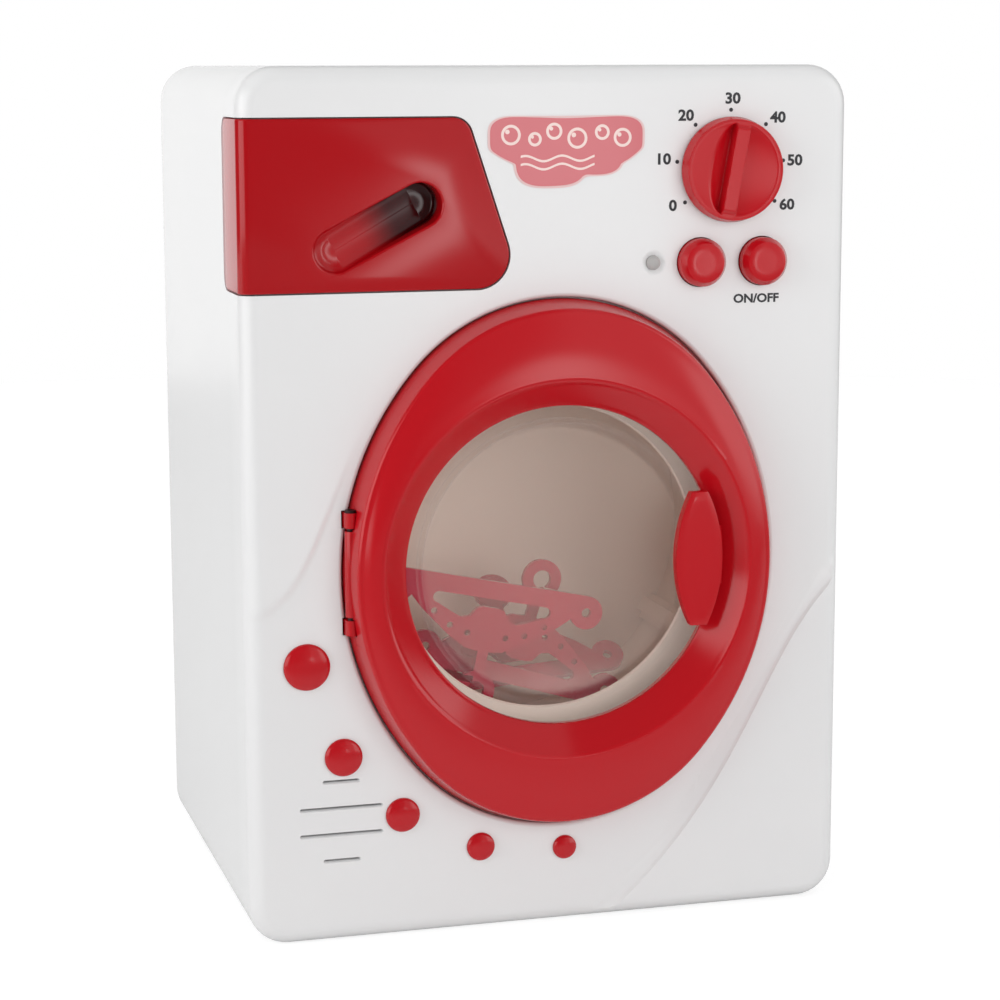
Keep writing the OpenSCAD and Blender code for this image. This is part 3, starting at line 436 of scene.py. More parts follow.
# %% Metals
def metal(name, colour, rough):
    """Plated metal: a brushed drift of roughness over a plain tint."""
    finish = Finish(name, Metallic=1.0)
    cloud = finish.noise(300.0, 3.0)
    finish.wear(Base_Color=finish.between(cloud, colour, tuple(c * 0.85 for c in colour)),
                Roughness=cloud * 0.15 + rough)
    return finish.material


steel = metal("steel", (0.62, 0.62, 0.64), 0.25)
# Near-black steel for the hinge pin: its darkness is painted shade, standing for the shadow in the hinge
# gap.
shade_dark_steel = metal("shade_dark_steel", (0.06, 0.04, 0.04), 0.4)
bronze = metal("bronze", (0.45, 0.30, 0.14), 0.35)
print("metals ready")

# %% [markdown]
# ## Clear plastics
#
# Thin clear plastic hardly bends light. So instead of true refraction, which would keep the lamps' light
# out of the drum, light passes straight through a tint, and a glossy skin is mixed over it. The window
# gets a finish of its own, because its floor is hazier than its rim.


# %% Clear plastics
def see_through(name, colour, tint, veil, rough=0.04):
    """Clear plastic: light passes straight through the tint, and a glossy skin is mixed in by
    veil + 0.6 * facing^2.2, where facing grows from 0 face on to 1 at grazing views."""
    finish = Finish(name, Base_Color=colour, Roughness=rough, IOR=1.5)
    cloud = finish.noise(60.0, 2.0)
    graze = finish.node("ShaderNodeLayerWeight", {}, {"Blend": 0.35}, out="Facing")
    clear = finish.node("ShaderNodeBsdfTransparent", {}, {"Color": tint})
    finish.show(finish.blend(graze ** 2.2 * 0.6 + cloud * 0.03 + veil, clear, finish.gloss))
    return finish.material


clear_plastic = see_through("clear_plastic", (0.80, 0.79, 0.77), (0.97, 0.965, 0.955), 0.04)


def bowl_clear():
    """Window plastic. Its haze grows inside a radius of about 42 mm and again low on the floor, and its
    gloss grows as the view grazes. Lamp light goes through it undimmed."""
    finish = Finish("bowl_clear", Roughness=0.05, IOR=1.5)
    x, z = finish.mm("X") - DOOR[0], finish.mm("Z") - DOOR[1]
    floor = finish.smooth((x * x + z * z) ** 0.5, 43.0, 40.5)
    haze = floor * 0.085 + floor * finish.smooth(z, -31.0, -38.0) * 0.05
    haze = haze + finish.noise(30.0) * 0.03 + 0.01
    graze = finish.node("ShaderNodeLayerWeight", {}, {"Blend": 0.35}, out="Facing") ** 2.6 * 0.45
    clear = finish.node("ShaderNodeBsdfTransparent", {}, {"Color": (1.0, 0.998, 0.995)})
    finish.wear(Base_Color=finish.between(floor, (0.82, 0.80, 0.78), (0.90, 0.78, 0.70)))
    lit = 1.0 - finish.ray("Is Shadow Ray")
    finish.show(finish.blend((haze + graze) * lit, clear, finish.gloss))
    return finish.material


window_plastic = bowl_clear()
hanger_red = see_through("hanger_red", (0.62, 0.015, 0.06), (0.80, 0.12, 0.22), 0.68, 0.12)
led_red = see_through("led_red", (0.7, 0.08, 0.06), (0.9, 0.3, 0.25), 0.3)
lamp_clear = see_through("lamp_clear", (0.70, 0.69, 0.68), (0.85, 0.84, 0.83), 0.55, 0.1)
print("clear plastics ready")

# %% [markdown]
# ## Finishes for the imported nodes
#
# Most of what is inside never needs a new shape, only its own plastic or metal. The record names a
# material slot for each node, so one dictionary from slot to finish dresses them all.

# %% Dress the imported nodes
finishes = {
    "white_abs": white_abs, "red_abs": red_abs, "clear_plastic": clear_plastic, "hanger_red": hanger_red,
    "drum_plastic": drum_plastic, "grey_plastic": grey_plastic, "black_plastic": black_plastic,
    "gear_plastic": gear_plastic, "steel": steel, "bronze": bronze, "cell_wrap": cell_wrap,
    "board_green": board_green, "led_red": led_red, "label_paper": white_abs,
}
for part in frame["record"]["subparts"]:
    mesh = frame["nodes"][part["node"]].data
    mesh.materials.clear()
    mesh.materials.append(finishes[part["material_slot"]])
# The hinge pin wears the near-black steel, a painted shade that reads as the hinge gap's shadow.
frame["nodes"]["hinge_pin"].data.materials[0] = shade_dark_steel
print(len(frame["nodes"]), "nodes dressed")

# %% [markdown]
# ## Cabinet front
#
# The cabinet is one deep moulding. Its front is lofted in loops that spread from the door's centre to
# the rim, bend over the edge and run back along the sides. A height is then added to the front: the
# swept step low on the right, and the soft shoulder that follows the door on the left.


# %% Curves pressed into the front
def cubic(p, n=240):
    """Points on a cubic curve: the four control points weighted by (1-t)^3, 3t(1-t)^2, 3t^2(1-t), t^3."""
    p = np.array(p, float)
    t = np.linspace(0, 1, n)[:, None]
    return (1 - t) ** 3 * p[0] + 3 * t * (1 - t) ** 2 * p[1] + 3 * t * t * (1 - t) * p[2] + t ** 3 * p[3]


def side_of(curve, points):
    """Signed distance of points from a curve, and how far along it the nearest place is, from 0 to 1."""
    gap = points[:, None, :] - curve[None, :, :]
    reach = np.hypot(gap[..., 0], gap[..., 1])
    near = reach.argmin(1)
    along = np.gradient(curve, axis=0)[near]
    out = points - curve[near]
    sign = np.sign(along[:, 0] * out[:, 1] - along[:, 1] * out[:, 0])
    return sign * reach[np.arange(len(points)), near], near / (len(curve) - 1)


def ramp(x):
    """Smooth step from 0 to 1 as x goes from 0 to 1."""
    x = np.clip(x, 0, 1)
    return x * x * (3 - 2 * x)


SWEEP = cubic([(96, 108), (66, 84), (66, 40), (14, -1)])
SHOULDER = cubic([(-96, 101.5), (-76, 104), (-74, 128), (-56, 162)])


def relief(points):
    """How far the front stands out at each point, from its distance d to the two curves. The step is up
    before it meets the sweep, 0.7 high there and full a little further on. The shoulder rises over 2 mm,
    falls away as exp(-d / 26), and is gone by the upper end of its curve."""
    d, _ = side_of(SWEEP, points)
    step = STEP * ramp((d + 4.5) / 2) * (1 - 0.3 * np.exp(-np.maximum(d, 0) / 2.2))
    d, t = side_of(SHOULDER, points)
    soft = 0.9 * ramp((d + 0.8) / 2.0) * np.exp(-np.maximum(d, 0) / 26) * (1 - ramp((t - 0.45) / 0.55))
    return step + soft * (t > 0)


def cabinet_loop(inset, n_side=120, n_high=170):
    """Outline of the cabinet drawn in by inset, by which its corner radius shrinks too."""
    return round_rect(WIDE / 2 - inset, HIGH / 2 - inset, CORNER - inset, MIDDLE, n_side, n_high)


def cabinet_rows():
    """Loops of the cabinet: spreading over the front, bending over the edge by a quarter circle, where
    the inset is EDGE * (1 - sin a) and the depth EDGE * (1 - cos a), then straight along the sides."""
    inner = cabinet_loop(EDGE)
    rows = []
    for k in np.concatenate([[0.02, 0.4], np.linspace(0.55, 1, 104)]):
        loop = AXIS + (inner - AXIS) * k
        rows.append(at_depth(loop, FACE - relief(loop)))
    for a in np.linspace(0, np.pi / 2, 9)[1:]:
        loop = cabinet_loop(EDGE * (1 - math.sin(a)))
        rows.append(at_depth(loop, FACE + EDGE * (1 - math.cos(a)) - relief(loop) * math.cos(a) ** 2))
    for y in (FACE + 20, -10, SEAM):
        rows.append(at_depth(cabinet_loop(0.0), y))
    return np.array(rows)


cabinet = solid(cabinet_rows())
print("cabinet skin:", len(cabinet.polygons), "faces")

# %% [markdown]
# ## Recess and mouth
#
# The door sits in an oval recess with a soft rim, and behind it is the round mouth of the drum. Both
# are one cutter: loops that shrink from the flared rim to the recess wall, over its floor, and down the
# mouth. Drawn in the cutter, each edge has the rounding it needs, where a bevel would give all the same.

# %% Recess and mouth
FLARE = 1.6  # how far the ring's outer wall stands out past its shoulder
RECESS_A, RECESS_B = RING_A + FLARE + 0.5, RING_B + FLARE + 0.5
RIM_R = 1.4
FLOOR = FACE + 4.0
MOUTH_R = 54.0


def recess_rows():
    """Loops down the recess: over the rim the oval grows by RIM_R * (1 - sin a) at a depth of
    RIM_R * (1 - cos a). Small steps round the foot of its wall and the edge of the mouth."""
    rim = [(RIM_R, FACE - 9)] + [(RIM_R * (1 - math.sin(a)), FACE + RIM_R * (1 - math.cos(a)))
                                 for a in np.radians(np.linspace(8, 90, 8))]
    foot = [(0, FLOOR - 0.7), (-0.2, FLOOR - 0.2), (-0.7, FLOOR)]
    mouth = [(0.8, FLOOR), (0.25, FLOOR + 0.25), (0, FLOOR + 0.8), (0, FLOOR + 8)]
    rows = [at_depth(oval(RECESS_A + g, RECESS_B + g), y) for g, y in rim + foot]
    return np.array(rows + [at_depth(circle(AXIS, MOUTH_R + g), y) for g, y in mouth])


recess = solid(recess_rows())
print("recess cutter:", len(recess.polygons), "faces")

# %% [markdown]
# ## Drawer mouth
#
# The drawer wraps round the left front corner, so its mouth is cut twice: once with its outline seen
# from the front, and once with the outline of its side wing. The drawer face is cut from the same two
# outlines later, drawn a little smaller, which keeps the gap round it even.

# %% Drawer mouth
DRAWER_LOW, DRAWER_TOP = 198.3, 248.9
DRAWER_GAP = 0.4


def drawer_loop(grow, left=-WIDE / 2 - 6):
    """Outline of the drawer face from the front: square at the left, round at the two right corners,
    with a right edge that leans back. grow widens it all round."""
    top_x, low_x, top_z, low_z = -26.3, -9.6, DRAWER_TOP, DRAWER_LOW
    r_low, r_top = 10.0, 6.0
    lean = (top_x - low_x) / (top_z - low_z)
    nx = 1 / math.hypot(1, lean)
    tilt = math.atan2(-lean * nx, nx)
    low = (low_x + lean * r_low - r_low / nx, low_z + r_low)
    top = (top_x - lean * r_top - r_top / nx, top_z - r_top)
    arc_low = circle(low, r_low + grow, np.linspace(-np.pi / 2, tilt, 14))
    arc_top = circle(top, r_top + grow, np.linspace(tilt, np.pi / 2, 10))
    ends = np.array([[left, top_z + grow], [left, low_z - grow]])
    return np.concatenate([arc_low, arc_top, ends])


def side_prism(grow, x0, x1, wrap=25.0, r=5.0):
    """Solid of the drawer's outline seen from the left: two round corners at the back."""
    low_z, top_z, back = DRAWER_LOW - grow, DRAWER_TOP + grow, FACE + wrap + grow
    loop = np.concatenate([
        circle((back - r, low_z + r), r, np.linspace(-np.pi / 2, 0, 9)),
        circle((back - r, top_z - r), r, np.linspace(0, np.pi / 2, 9)),
        [[FACE - 9, top_z], [FACE - 9, low_z]]])
    rows = [np.stack([np.full(len(loop), x), loop[:, 0], loop[:, 1]], -1) for x in (x0, x1)]
    return solid(rows)


drawer_cuts = [("DIFFERENCE", prism(drawer_loop(DRAWER_GAP), FACE - 6, FACE + 5.1)),
               ("DIFFERENCE", side_prism(DRAWER_GAP, -WIDE / 2 - 6, -WIDE / 2 + 5.1))]
print(f"drawer mouth {DRAWER_TOP - DRAWER_LOW + 2 * DRAWER_GAP:.1f} mm high")

# %% [markdown]
# ## Wells, slots and the swept wall
#
# What is left are straight cutters: a well for each button, a bore for the dial and the lamp, chamfered
# slots over the speaker, and slots for the hinge's knuckles. The wall of the swept step is cut as well.
# A height on a grid can only slope from point to point, and the cutter leaves the edge crisp.

# %% Wells and slots
START, POWER = np.array([47.0, 204.7]), np.array([66.9, 204.7])
DIAL, LAMP = np.array([56.4, 232.6]), np.array([32.1, 204.8])
SPEAKER = np.array([-66.7, 38.1])
HINGE = (-63.2, FACE - 2.0)
KNUCKLES = (98.2, 130.8)
wells = [(START, 7.6), (POWER, 7.6), (DIAL, 3.65), (LAMP, 2.25)]
small_cuts = [prism(circle(at, r, TURN[::4]), FACE - 6, FACE + 6) for at, r in wells]


def swept_wall():
    """Cutter below the sweep. Its upper edge is the curve pushed along its normal, by less at each depth,
    which leaves a wall that leans and has a soft foot."""
    aim = np.gradient(SWEEP, axis=0)
    aim /= np.linalg.norm(aim, axis=1)[:, None]
    normal = np.stack([-aim[:, 1], aim[:, 0]], -1)
    edges = [(1.15, -STEP - 2), (1.15, -STEP), (0.9, -0.8), (0.3, -0.2), (-0.15, -0.02)]
    rows = [at_depth(np.concatenate([SWEEP + normal * near, (SWEEP - normal * 6.5)[::-1]]), FACE + y)
            for near, y in edges]
    return solid(rows)


dish = [(3.9, -3), (3.9, -0.05), (3.4, 0.12), (2.8, 0.65), (2.1, 1.0), (0.5, 1.02)]
small_cuts += [swept_wall(), turned(LAMP, [(r, FACE + y) for r, y in dish], TURN[::4])]
for rise, half in ((12.3, 5.75), (4.0, 12.9), (-4.2, 12.9), (-12.4, 5.75)):
    reach = np.array([half - 0.6, 0])
    row = SPEAKER + (0, rise)
    lip = [at_depth(capsule(row - reach, row + reach, r, 8), FACE + y)
           for r, y in [(1.5, -0.85), (0.65, 0.0), (0.28, 0.75), (0.28, 6.0)]]
    small_cuts.append(solid(lip))
for z in KNUCKLES:
    slot = np.array([[-65.7, z - 2.7], [-60.7, z - 2.7], [-60.7, z + 2.7], [-65.7, z + 2.7]])
    small_cuts.append(prism(slot, FACE - 6, FLOOR + 5))
print(len(small_cuts), "small cutters")

# %% [markdown]
# ## Hollow shell
#
# The order of the cuts matters. The inside is taken out first, then a collar is joined on where the
# recess will go deeper than the wall, and only then are the recess and the rest cut through both.

# %% Cut the cabinet
hollow_rows = [at_depth(cabinet_loop(WALL + 2.6, 6, 6), FACE + WALL)]
hollow_rows += [at_depth(cabinet_loop(WALL, 6, 6), y) for y in (FACE + 5, SEAM + 6)]
collar = prism(oval(RECESS_A + WALL, RECESS_B + WALL), FACE + 1.5, FLOOR + WALL)
cuts = [("DIFFERENCE", solid(hollow_rows)), ("UNION", collar), ("DIFFERENCE", recess)]
cuts += drawer_cuts + [("DIFFERENCE", cutter) for cutter in small_cuts]
shell = carve(cabinet, *cuts)
place("cabinet_front", shell, "cabinet", "white_abs", white_abs, "front_shell", angle=28)

# %% [markdown]
# ## Door ring
#
# The ring is one section carried round the door: up the outer wall, over a rounded shoulder, across a
# shallow band to a raised ridge, and down a cone to the window. The outer wall follows the oval while
# the ridge and the cone are true circles, so the band is wide at the top and narrow at the sides.


# %% Door ring
RIDGE_R, WINDOW_R = 58.0, 49.2
LIP_Y = FACE - 3.2


def ring_rows():
    """Closed section for every angle. The radius of a station is the oval's, a circle's, or on the band
    the mix outer * (1 - k) + RIDGE_R * k, where k runs from the shoulder to the ridge."""
    outer = oval_radius(RING_A, RING_B)
    rows = []

    def station(radius, y):
        rows.append(at_depth(circle(DOOR, radius), y))

    station(outer - 2, RING_BACK)
    station(outer + FLARE - 0.3, RING_BACK)
    station(outer + FLARE, RING_BACK - 0.3)
    station(outer + FLARE, FACE + 0.9)
    station(outer + FLARE - 0.15, FACE + 0.3)
    for a in np.radians(np.linspace(8, 90, 7)):
        station(outer - 2 + 1.5 * math.cos(a), RING_Y + 1.5 * (1 - math.sin(a)))
    for k in np.linspace(0.12, 0.94, 9):
        radius = (outer - 2) * (1 - k) + RIDGE_R * k
        station(radius, RING_Y + (RIDGE_Y - RING_Y) * (k + 0.22 * math.sin(math.pi * k)))
    for g, y in ((0.5, 0.0), (0.0, 0.02), (-0.5, 0.25)):
        station(RIDGE_R + g, RIDGE_Y + y)
    slope = (LIP_Y - RIDGE_Y) / (RIDGE_R - WINDOW_R)
    for r in np.linspace(RIDGE_R - 1.2, WINDOW_R + 0.9, 10):
        station(r, RIDGE_Y + (RIDGE_R - r) * slope)
    for g, y in ((0.45, -0.28), (0.12, -0.05), (0.0, 0.35)):
        station(WINDOW_R + g, LIP_Y + y)
    station(WINDOW_R, LIP_Y + 2.5)
    station(WINDOW_R + 2, LIP_Y + 2.5)
    station(RIDGE_R - 1, RING_Y + 2)
    station(outer - 3, RING_Y + 2)
    station(outer - 2, RING_Y + 3)
    return np.array(rows)


print("ring stands", round(LIP_Y - RIDGE_Y, 1), "mm over the window's lip")

# %% [markdown]
# ## Hinge barrel
#
# The door turns on a pin down its left side, in near-black steel whose darkness is painted shade: it
# reads as the shadow in the hinge gap. A barrel inside the ring carries the pin, and the ring is slotted
# where the cabinet's two knuckles reach through to it. Bars and blocks are enough for this, because
# almost none of it is seen.


# %% Hinge barrel
def post(x, y, r, z0, z1):
    """Upright round bar: the circle x + r cos t, y + r sin t at two heights."""
    turn = TURN[::8]
    rows = [np.stack([x + r * np.cos(turn), y + r * np.sin(turn), np.full(len(turn), z)], -1)
            for z in (z0, z1)]
    return solid(rows)


def block(low, high):
    """Box between two corners, as a loft of two squares."""
    (x0, y0, z0), (x1, y1, z1) = low, high
    rows = [[(x0, y0, z), (x1, y0, z), (x1, y1, z), (x0, y1, z)] for z in (z0, z1)]
    return solid(rows)


BARREL_R, PIN_R, SLOT_R = 1.95, 1.25, 2.35
low_z, top_z = DOOR[1] - 12, DOOR[1] + 14
back = HINGE[0] + 2.6
foot = block((HINGE[0], HINGE[1] - BARREL_R, low_z), (back, HINGE[1] + BARREL_R, top_z))
barrel = soften(carve(post(*HINGE, BARREL_R, low_z, top_z), ("UNION", foot)), 0.35, 50)
ring_cuts = [("UNION", barrel)]
for z in KNUCKLES:
    low_z, top_z = z - 2.6, z + 2.6
    slots = [post(*HINGE, SLOT_R, low_z, top_z),
             block((HINGE[0] - 6, HINGE[1] - 3.4, low_z), (HINGE[0] - 1.1, RING_BACK + 1, top_z)),
             block((HINGE[0] - 6, HINGE[1], low_z), (back, RING_BACK + 1, top_z))]
    ring_cuts += [("DIFFERENCE", slot) for slot in slots]
ring_cuts.append(("DIFFERENCE", post(*HINGE, PIN_R, 80, 150)))
ring = carve(solid(ring_rows(), ring=True), *ring_cuts)
place("door_frame", ring, "door", "red_abs", red_abs, "door_ring", angle=32)

# %% [markdown]
# ## Window bowl
#
# The window is a shallow clear bowl with a stepped rim. What the eye reads as glass is mostly its
# edges: the rolled lip, the step and the turn into the floor each catch a thin line of light. So its
# section is drawn point by point, in steps of radius and depth, and turned round the door's centre.

# %% Window bowl
BOWL_R, BOWL_DEEP, FLANGE_R = 44.0, 10.0, 53.0
bowl = [(WINDOW_R - 0.1, 2.6), (WINDOW_R - 0.1, 0.4), (WINDOW_R - 0.35, 0.1), (WINDOW_R - 0.8, 0),
        (BOWL_R + 1.2, 0), (BOWL_R + 0.5, 0.2), (BOWL_R + 0.1, 0.7), (BOWL_R - 0.2, 2), (43.1, 5.5),
        (42.5, 7.3), (41.6, 8.2), (40.2, 8.5), (20, 8.5), (0, 8.5), (0, BOWL_DEEP), (20, BOWL_DEEP),
        (41.4, BOWL_DEEP), (43.0, 9.5), (44.1, 8.0), (45.2, 4.1), (FLANGE_R, 4.1), (FLANGE_R, 2.6)]
window = solid([at_depth(circle(DOOR, max(r, 0.002)), LIP_Y + y) for r, y in bowl], ring=True)
place("window_bowl", window, "door", "clear_plastic", window_plastic, "door_window", angle=50)

# %% [markdown]
# ## Finger pull
#
# The pull is a lens: two arcs that meet at blunt ends, with a softly crowned front. It stands over the
# window's right edge on a root that runs into the cone.

# %% Finger pull
PULL, PULL_W, PULL_H, PULL_R = np.array([44.1, 114.7]), 15.0, 41.5, 46.4


def lens(shrink, n=40):
    """Outline of two facing arcs with blunt ends: half width at height z is sqrt(R^2 - z^2) - (R - w/2).
    shrink draws the sides and ends in by as many millimetres."""
    z = np.linspace(-PULL_H / 2, PULL_H / 2, n)
    half = np.sqrt(PULL_R ** 2 - z ** 2) - (PULL_R - PULL_W / 2)
    right, left = np.stack([half, z], -1), np.stack([-half[::-1], z[::-1]], -1)
    return PULL + np.concatenate([right, left]) * (1 - shrink / np.array([PULL_W / 2, PULL_H / 2]))


crown = [(0.4, 2.6), (0, 2.3), (0, -0.7), (0.08, -0.88), (0.3, -0.96), (3.0, -1.0), (7.3, -1.0)]
pull_rows = [at_depth(lens(shrink), RING_Y + y) for shrink, y in crown]
root = np.array([(46.7, RING_Y + 2), (50.6, RING_Y + 2.4), (54.0, LIP_Y - 1.2), (54.0, LIP_Y - 0.7),
                 (46.7, LIP_Y - 0.7)])
web = solid([np.column_stack([root, np.full(len(root), z)]) for z in (105.5, 124.0)])
pull = carve(solid(pull_rows), ("UNION", web))
place("finger_pull", pull, "door", "red_abs", red_abs, "door_pull", angle=40)

# %% [markdown]
# ## Drawer face
#
# The face is a bent sheet: flat across the front, round the corner, and a short wing on the side. Its
# plan is drawn from above and carried upwards, and the two outlines of the drawer mouth then trim it.
# Bending a finished sheet would also do, but would pull its outline out of shape at the corner.

# %% Drawer sheet
SHEET, BEND = 2.2, 3.4


def bend(r, n=12):
    """Plan of the drawer's corner at radius r: a quarter circle of (x, y)."""
    a = np.linspace(-np.pi / 2, -np.pi, n)
    return np.stack([-WIDE / 2 + BEND + r * np.cos(a), FACE + BEND + r * np.sin(a)], -1)


plan = np.concatenate([[[5.0, FACE]], bend(BEND), [[-WIDE / 2, FACE + 30], [-WIDE / 2 + SHEET, FACE + 30]],
                       bend(BEND - SHEET)[::-1], [[5.0, FACE + SHEET]]])
sheet_rows = [np.column_stack([plan, np.full(len(plan), z)]) for z in (190, 256)]
face = carve(solid(sheet_rows), ("INTERSECT", prism(drawer_loop(0), FACE - 6, FACE + 40)),
             ("INTERSECT", side_prism(0, -WIDE / 2 - 6, 20)))
face = soften(face, 0.5, 45)
print("drawer sheet:", len(face.polygons), "faces")

# %% [markdown]
# ## Drawer plastic
#
# The drawer's red is a little deeper than the door's. Little light gets into its finger pocket, so there
# the colour itself falls into shade with depth. The place along x keeps that shade off the side wing.


# %% Drawer plastic
def drawer_red():
    """The drawer's red, darkened where both the depth past the face and the place along x say so."""
    finish = Finish("drawer_red", IOR=1.5)
    cloud = finish.noise(18.0, 3.0)
    deep = finish.smooth(finish.mm("Y") - FACE, 4.5, 9.0) * finish.smooth(finish.mm("X"), -79.0, -76.0)
    red = finish.between(cloud, (0.41, 0.002, 0.006), (0.38, 0.002, 0.005))
    finish.wear(Base_Color=finish.between(deep, red, (0.05, 0.001, 0.002)), Roughness=cloud * 0.06 + 0.11,
                Normal=finish.bump(cloud, 0.05, 0.0006))
    return finish.material


drawer_plastic = drawer_red()
print(drawer_plastic.name, "ready")

# %% [markdown]
# ## Finger pocket
#
# A slanted slot takes a fingertip. Its floor falls away to the right, so that the finger can hook behind
# the edge and pull. A cup is joined to the back of the sheet first, because the pocket is deeper than
# the sheet is thick, and then the pocket is cut from both.

# %% Finger pocket
FINGER = np.array([[-66.2, 210.5], [-40.5, 223.5]])
FINGER_R = 6.5


def pocket_rows():
    """Slot loops: a rim that rounds over by 0.8 mm, straight walls, and a floor whose depth grows slowly
    along the slot and then steeply past its middle."""
    long = np.linalg.norm(FINGER[1] - FINGER[0])
    rim = [(0.9, -3)] + [(0.8 * (1 - math.sin(a)), 0.8 * (1 - math.cos(a)))
                         for a in np.radians(np.linspace(12, 90, 6))]
    rows = [at_depth(capsule(*FINGER, FINGER_R + g), FACE + y) for g, y in rim]
    for shrink, lift in ((0, 1.2), (0.15, 0.6), (0.45, 0.2), (0.9, 0), (3.0, 0), (6.3, 0)):
        loop = capsule(*FINGER, FINGER_R - shrink)
        along = (loop - FINGER[0]) @ (FINGER[1] - FINGER[0]) / long
        depth = 2.2 + 3.2 * np.clip(along / long, 0, 1) + 5.6 * ramp((along - 14) / 9) - lift
        rows.append(at_depth(loop, FACE + np.maximum(depth, 1.1)))
    return np.array(rows)


cup = prism(capsule(*FINGER, FINGER_R + 1.3), FACE + 0.6, FACE + 12.6)
face = carve(face, ("UNION", cup), ("DIFFERENCE", solid(pocket_rows())))
place("drawer_face", face, "drawer", "red_abs", drawer_plastic, "drawer_front", angle=30)

# %% [markdown]
# ## Timer dial
#
# The dial is a disc with a leaning grip bar across it. To the right of the bar its front is almost flat,
# and to the left it is scooped out, deepest at the bar's foot, so that a thumb can push there. It is
# worked out as a depth for each place on the disc, which puts bar and scoop in one unbroken surface.


# %% Timer dial
DIAL_R, DIAL_Y = 15.1, FACE - 5.0
LEAN = math.radians(-10.2)
GRIP_HALF, GRIP_HIGH, SCOOP = 2.25, 0.9, 2.6
SKIRT = [(3.0, -0.4), (15.7, -0.4), (15.9, -0.6), (15.9, -1.4), (15.7, -1.9), (15.35, -4.6),
         (15.2, -5.05), (15.0, -5.12)]


def dial_front(x, z):
    """Depth of the dial's front at (x, z) from its own centre. u runs across the bar and v along it.
    across is 0 at the rim and 1 at the bar's foot, and the dip follows it; grip is 1 on the bar."""
    u = x * math.cos(LEAN) + z * math.sin(LEAN)
    v = -x * math.sin(LEAN) + z * math.cos(LEAN)
    edge = np.sqrt(np.maximum((DIAL_R - 0.9) ** 2 - v * v, 0.0))
    across = np.clip((edge - np.abs(u)) / np.maximum(edge - GRIP_HALF, 0.4), 0, 1)
    inside = ramp((DIAL_R - 0.9 - np.hypot(x, z)) / 0.8)
    left = 0.3 * across + SCOOP * ramp((across - 0.45) / 0.5)
    dip = np.where(u < 0, left, 0.8 * across) * ramp(edge / 9) * inside
    grip = 1 - ramp((np.abs(u) - GRIP_HALF + 0.3) / 0.6)
    bar = GRIP_HIGH * grip * ramp((DIAL_R - 1.6 - np.abs(v)) / 1.4)
    return DIAL_Y + dip * (1 - grip) - bar


def dial_rows():
    """Skirt, rounded rim, then rings that close on the centre of the scooped front."""
    fine = np.linspace(0, 2 * np.pi, 360, endpoint=False)
    rows = [at_depth(circle(DIAL, r, fine), FACE + y) for r, y in SKIRT]
    for r in np.concatenate([np.linspace(14.7, 12, 14), np.linspace(11.8, 0.05, 62)]):
        loop = circle((0, 0), r, fine)
        rows.append(at_depth(loop + DIAL, dial_front(loop[:, 0], loop[:, 1])))
    return np.array(rows)


stem = prism(circle(DIAL, 3.55, TURN[::4]), FACE - 1, FACE + 11.4)
dial = carve(solid(dial_rows()), ("UNION", stem))
place("timer_dial", dial, "dial", "red_abs", red_abs, "dial_knob", angle=50)

# %% [markdown]
# ## Push buttons
#
# A button is a turned solid: a stem that meets its switch, a wide foot that keeps it in its well, and a
# chamfered cap that stands 5 mm proud. One list of (radius, depth) gives the whole section.

# %% Push buttons
SMALL = TURN[::3]
CAP = -5.0
section = [(2, 13.7), (2, 11.8), (8.5, 11.8), (8.5, 10.3), (5.8, 10.3), (7.3, 5.4), (7.3, CAP + 2.3),
           (7.2, CAP + 2.0), (6.05, CAP + 0.22), (5.95, CAP + 0.06), (5.75, CAP), (3, CAP + 0.02),
           (0, CAP + 0.03)]
for at, name in ((START, "start_button"), (POWER, "power_button")):
    mesh = turned(at, [(r, FACE + y) for r, y in section], SMALL)
    place(f"{name}_cap", mesh, name, "red_abs", red_abs, name, angle=40)

# %% [markdown]
# ## Plugs and lamp
#
# Five red plugs follow the door, each a low dome on a stem, and smaller towards the bottom. Their sizes
# come from the frame. The lamp's lens is the same kind of dome, in milky clear plastic in its dish.

# %% Plugs and lamp
for k in range(5):
    low, high = corners(f"trim_dot_{k + 1}")
    at, r = np.array([(low[0] + high[0]) / 2, (low[2] + high[2]) / 2]), (high[0] - low[0]) / 2
    rise = FACE - low[1]
    dome = [(r * math.sin(a), FACE - 0.45 - (rise - 0.45) * math.cos(a))
            for a in np.radians(np.linspace(90, 2, 12))]
    plug = turned(at, [(1.95, high[1]), (1.95, FACE - 0.02), (r, FACE - 0.02)] + dome, SMALL)
    place(f"plug_{k + 1}", plug, "cabinet", "red_abs", red_abs, f"trim_dot_{k + 1}", angle=45)

dome = [(2.2, 2.4), (2.2, 0.4), (2.05, -0.1), (1.5, -0.6), (0.8, -0.85), (0, -0.9)]
lamp_lens = turned(LAMP, [(r, FACE + y) for r, y in dome], SMALL)
place("lamp_lens", lamp_lens, "cabinet", "clear_plastic", lamp_clear, "led_lens", angle=50)

# %% [markdown]
# ## Printing round the dial
#
# The numbers are pad-printed in dark grey. Text is made as a flat curve, turned into a mesh, and then
# laid on the front a hair proud of it. An image would do as well, but letters that are geometry stay
# sharp at any distance. Each dot is a tiny disc, and all of the print is one piece.


# %% Lettering
PRINT_Y = FACE - 0.06
FIGURE_HIGH, CAPITAL_HIGH = 3.5, 2.85


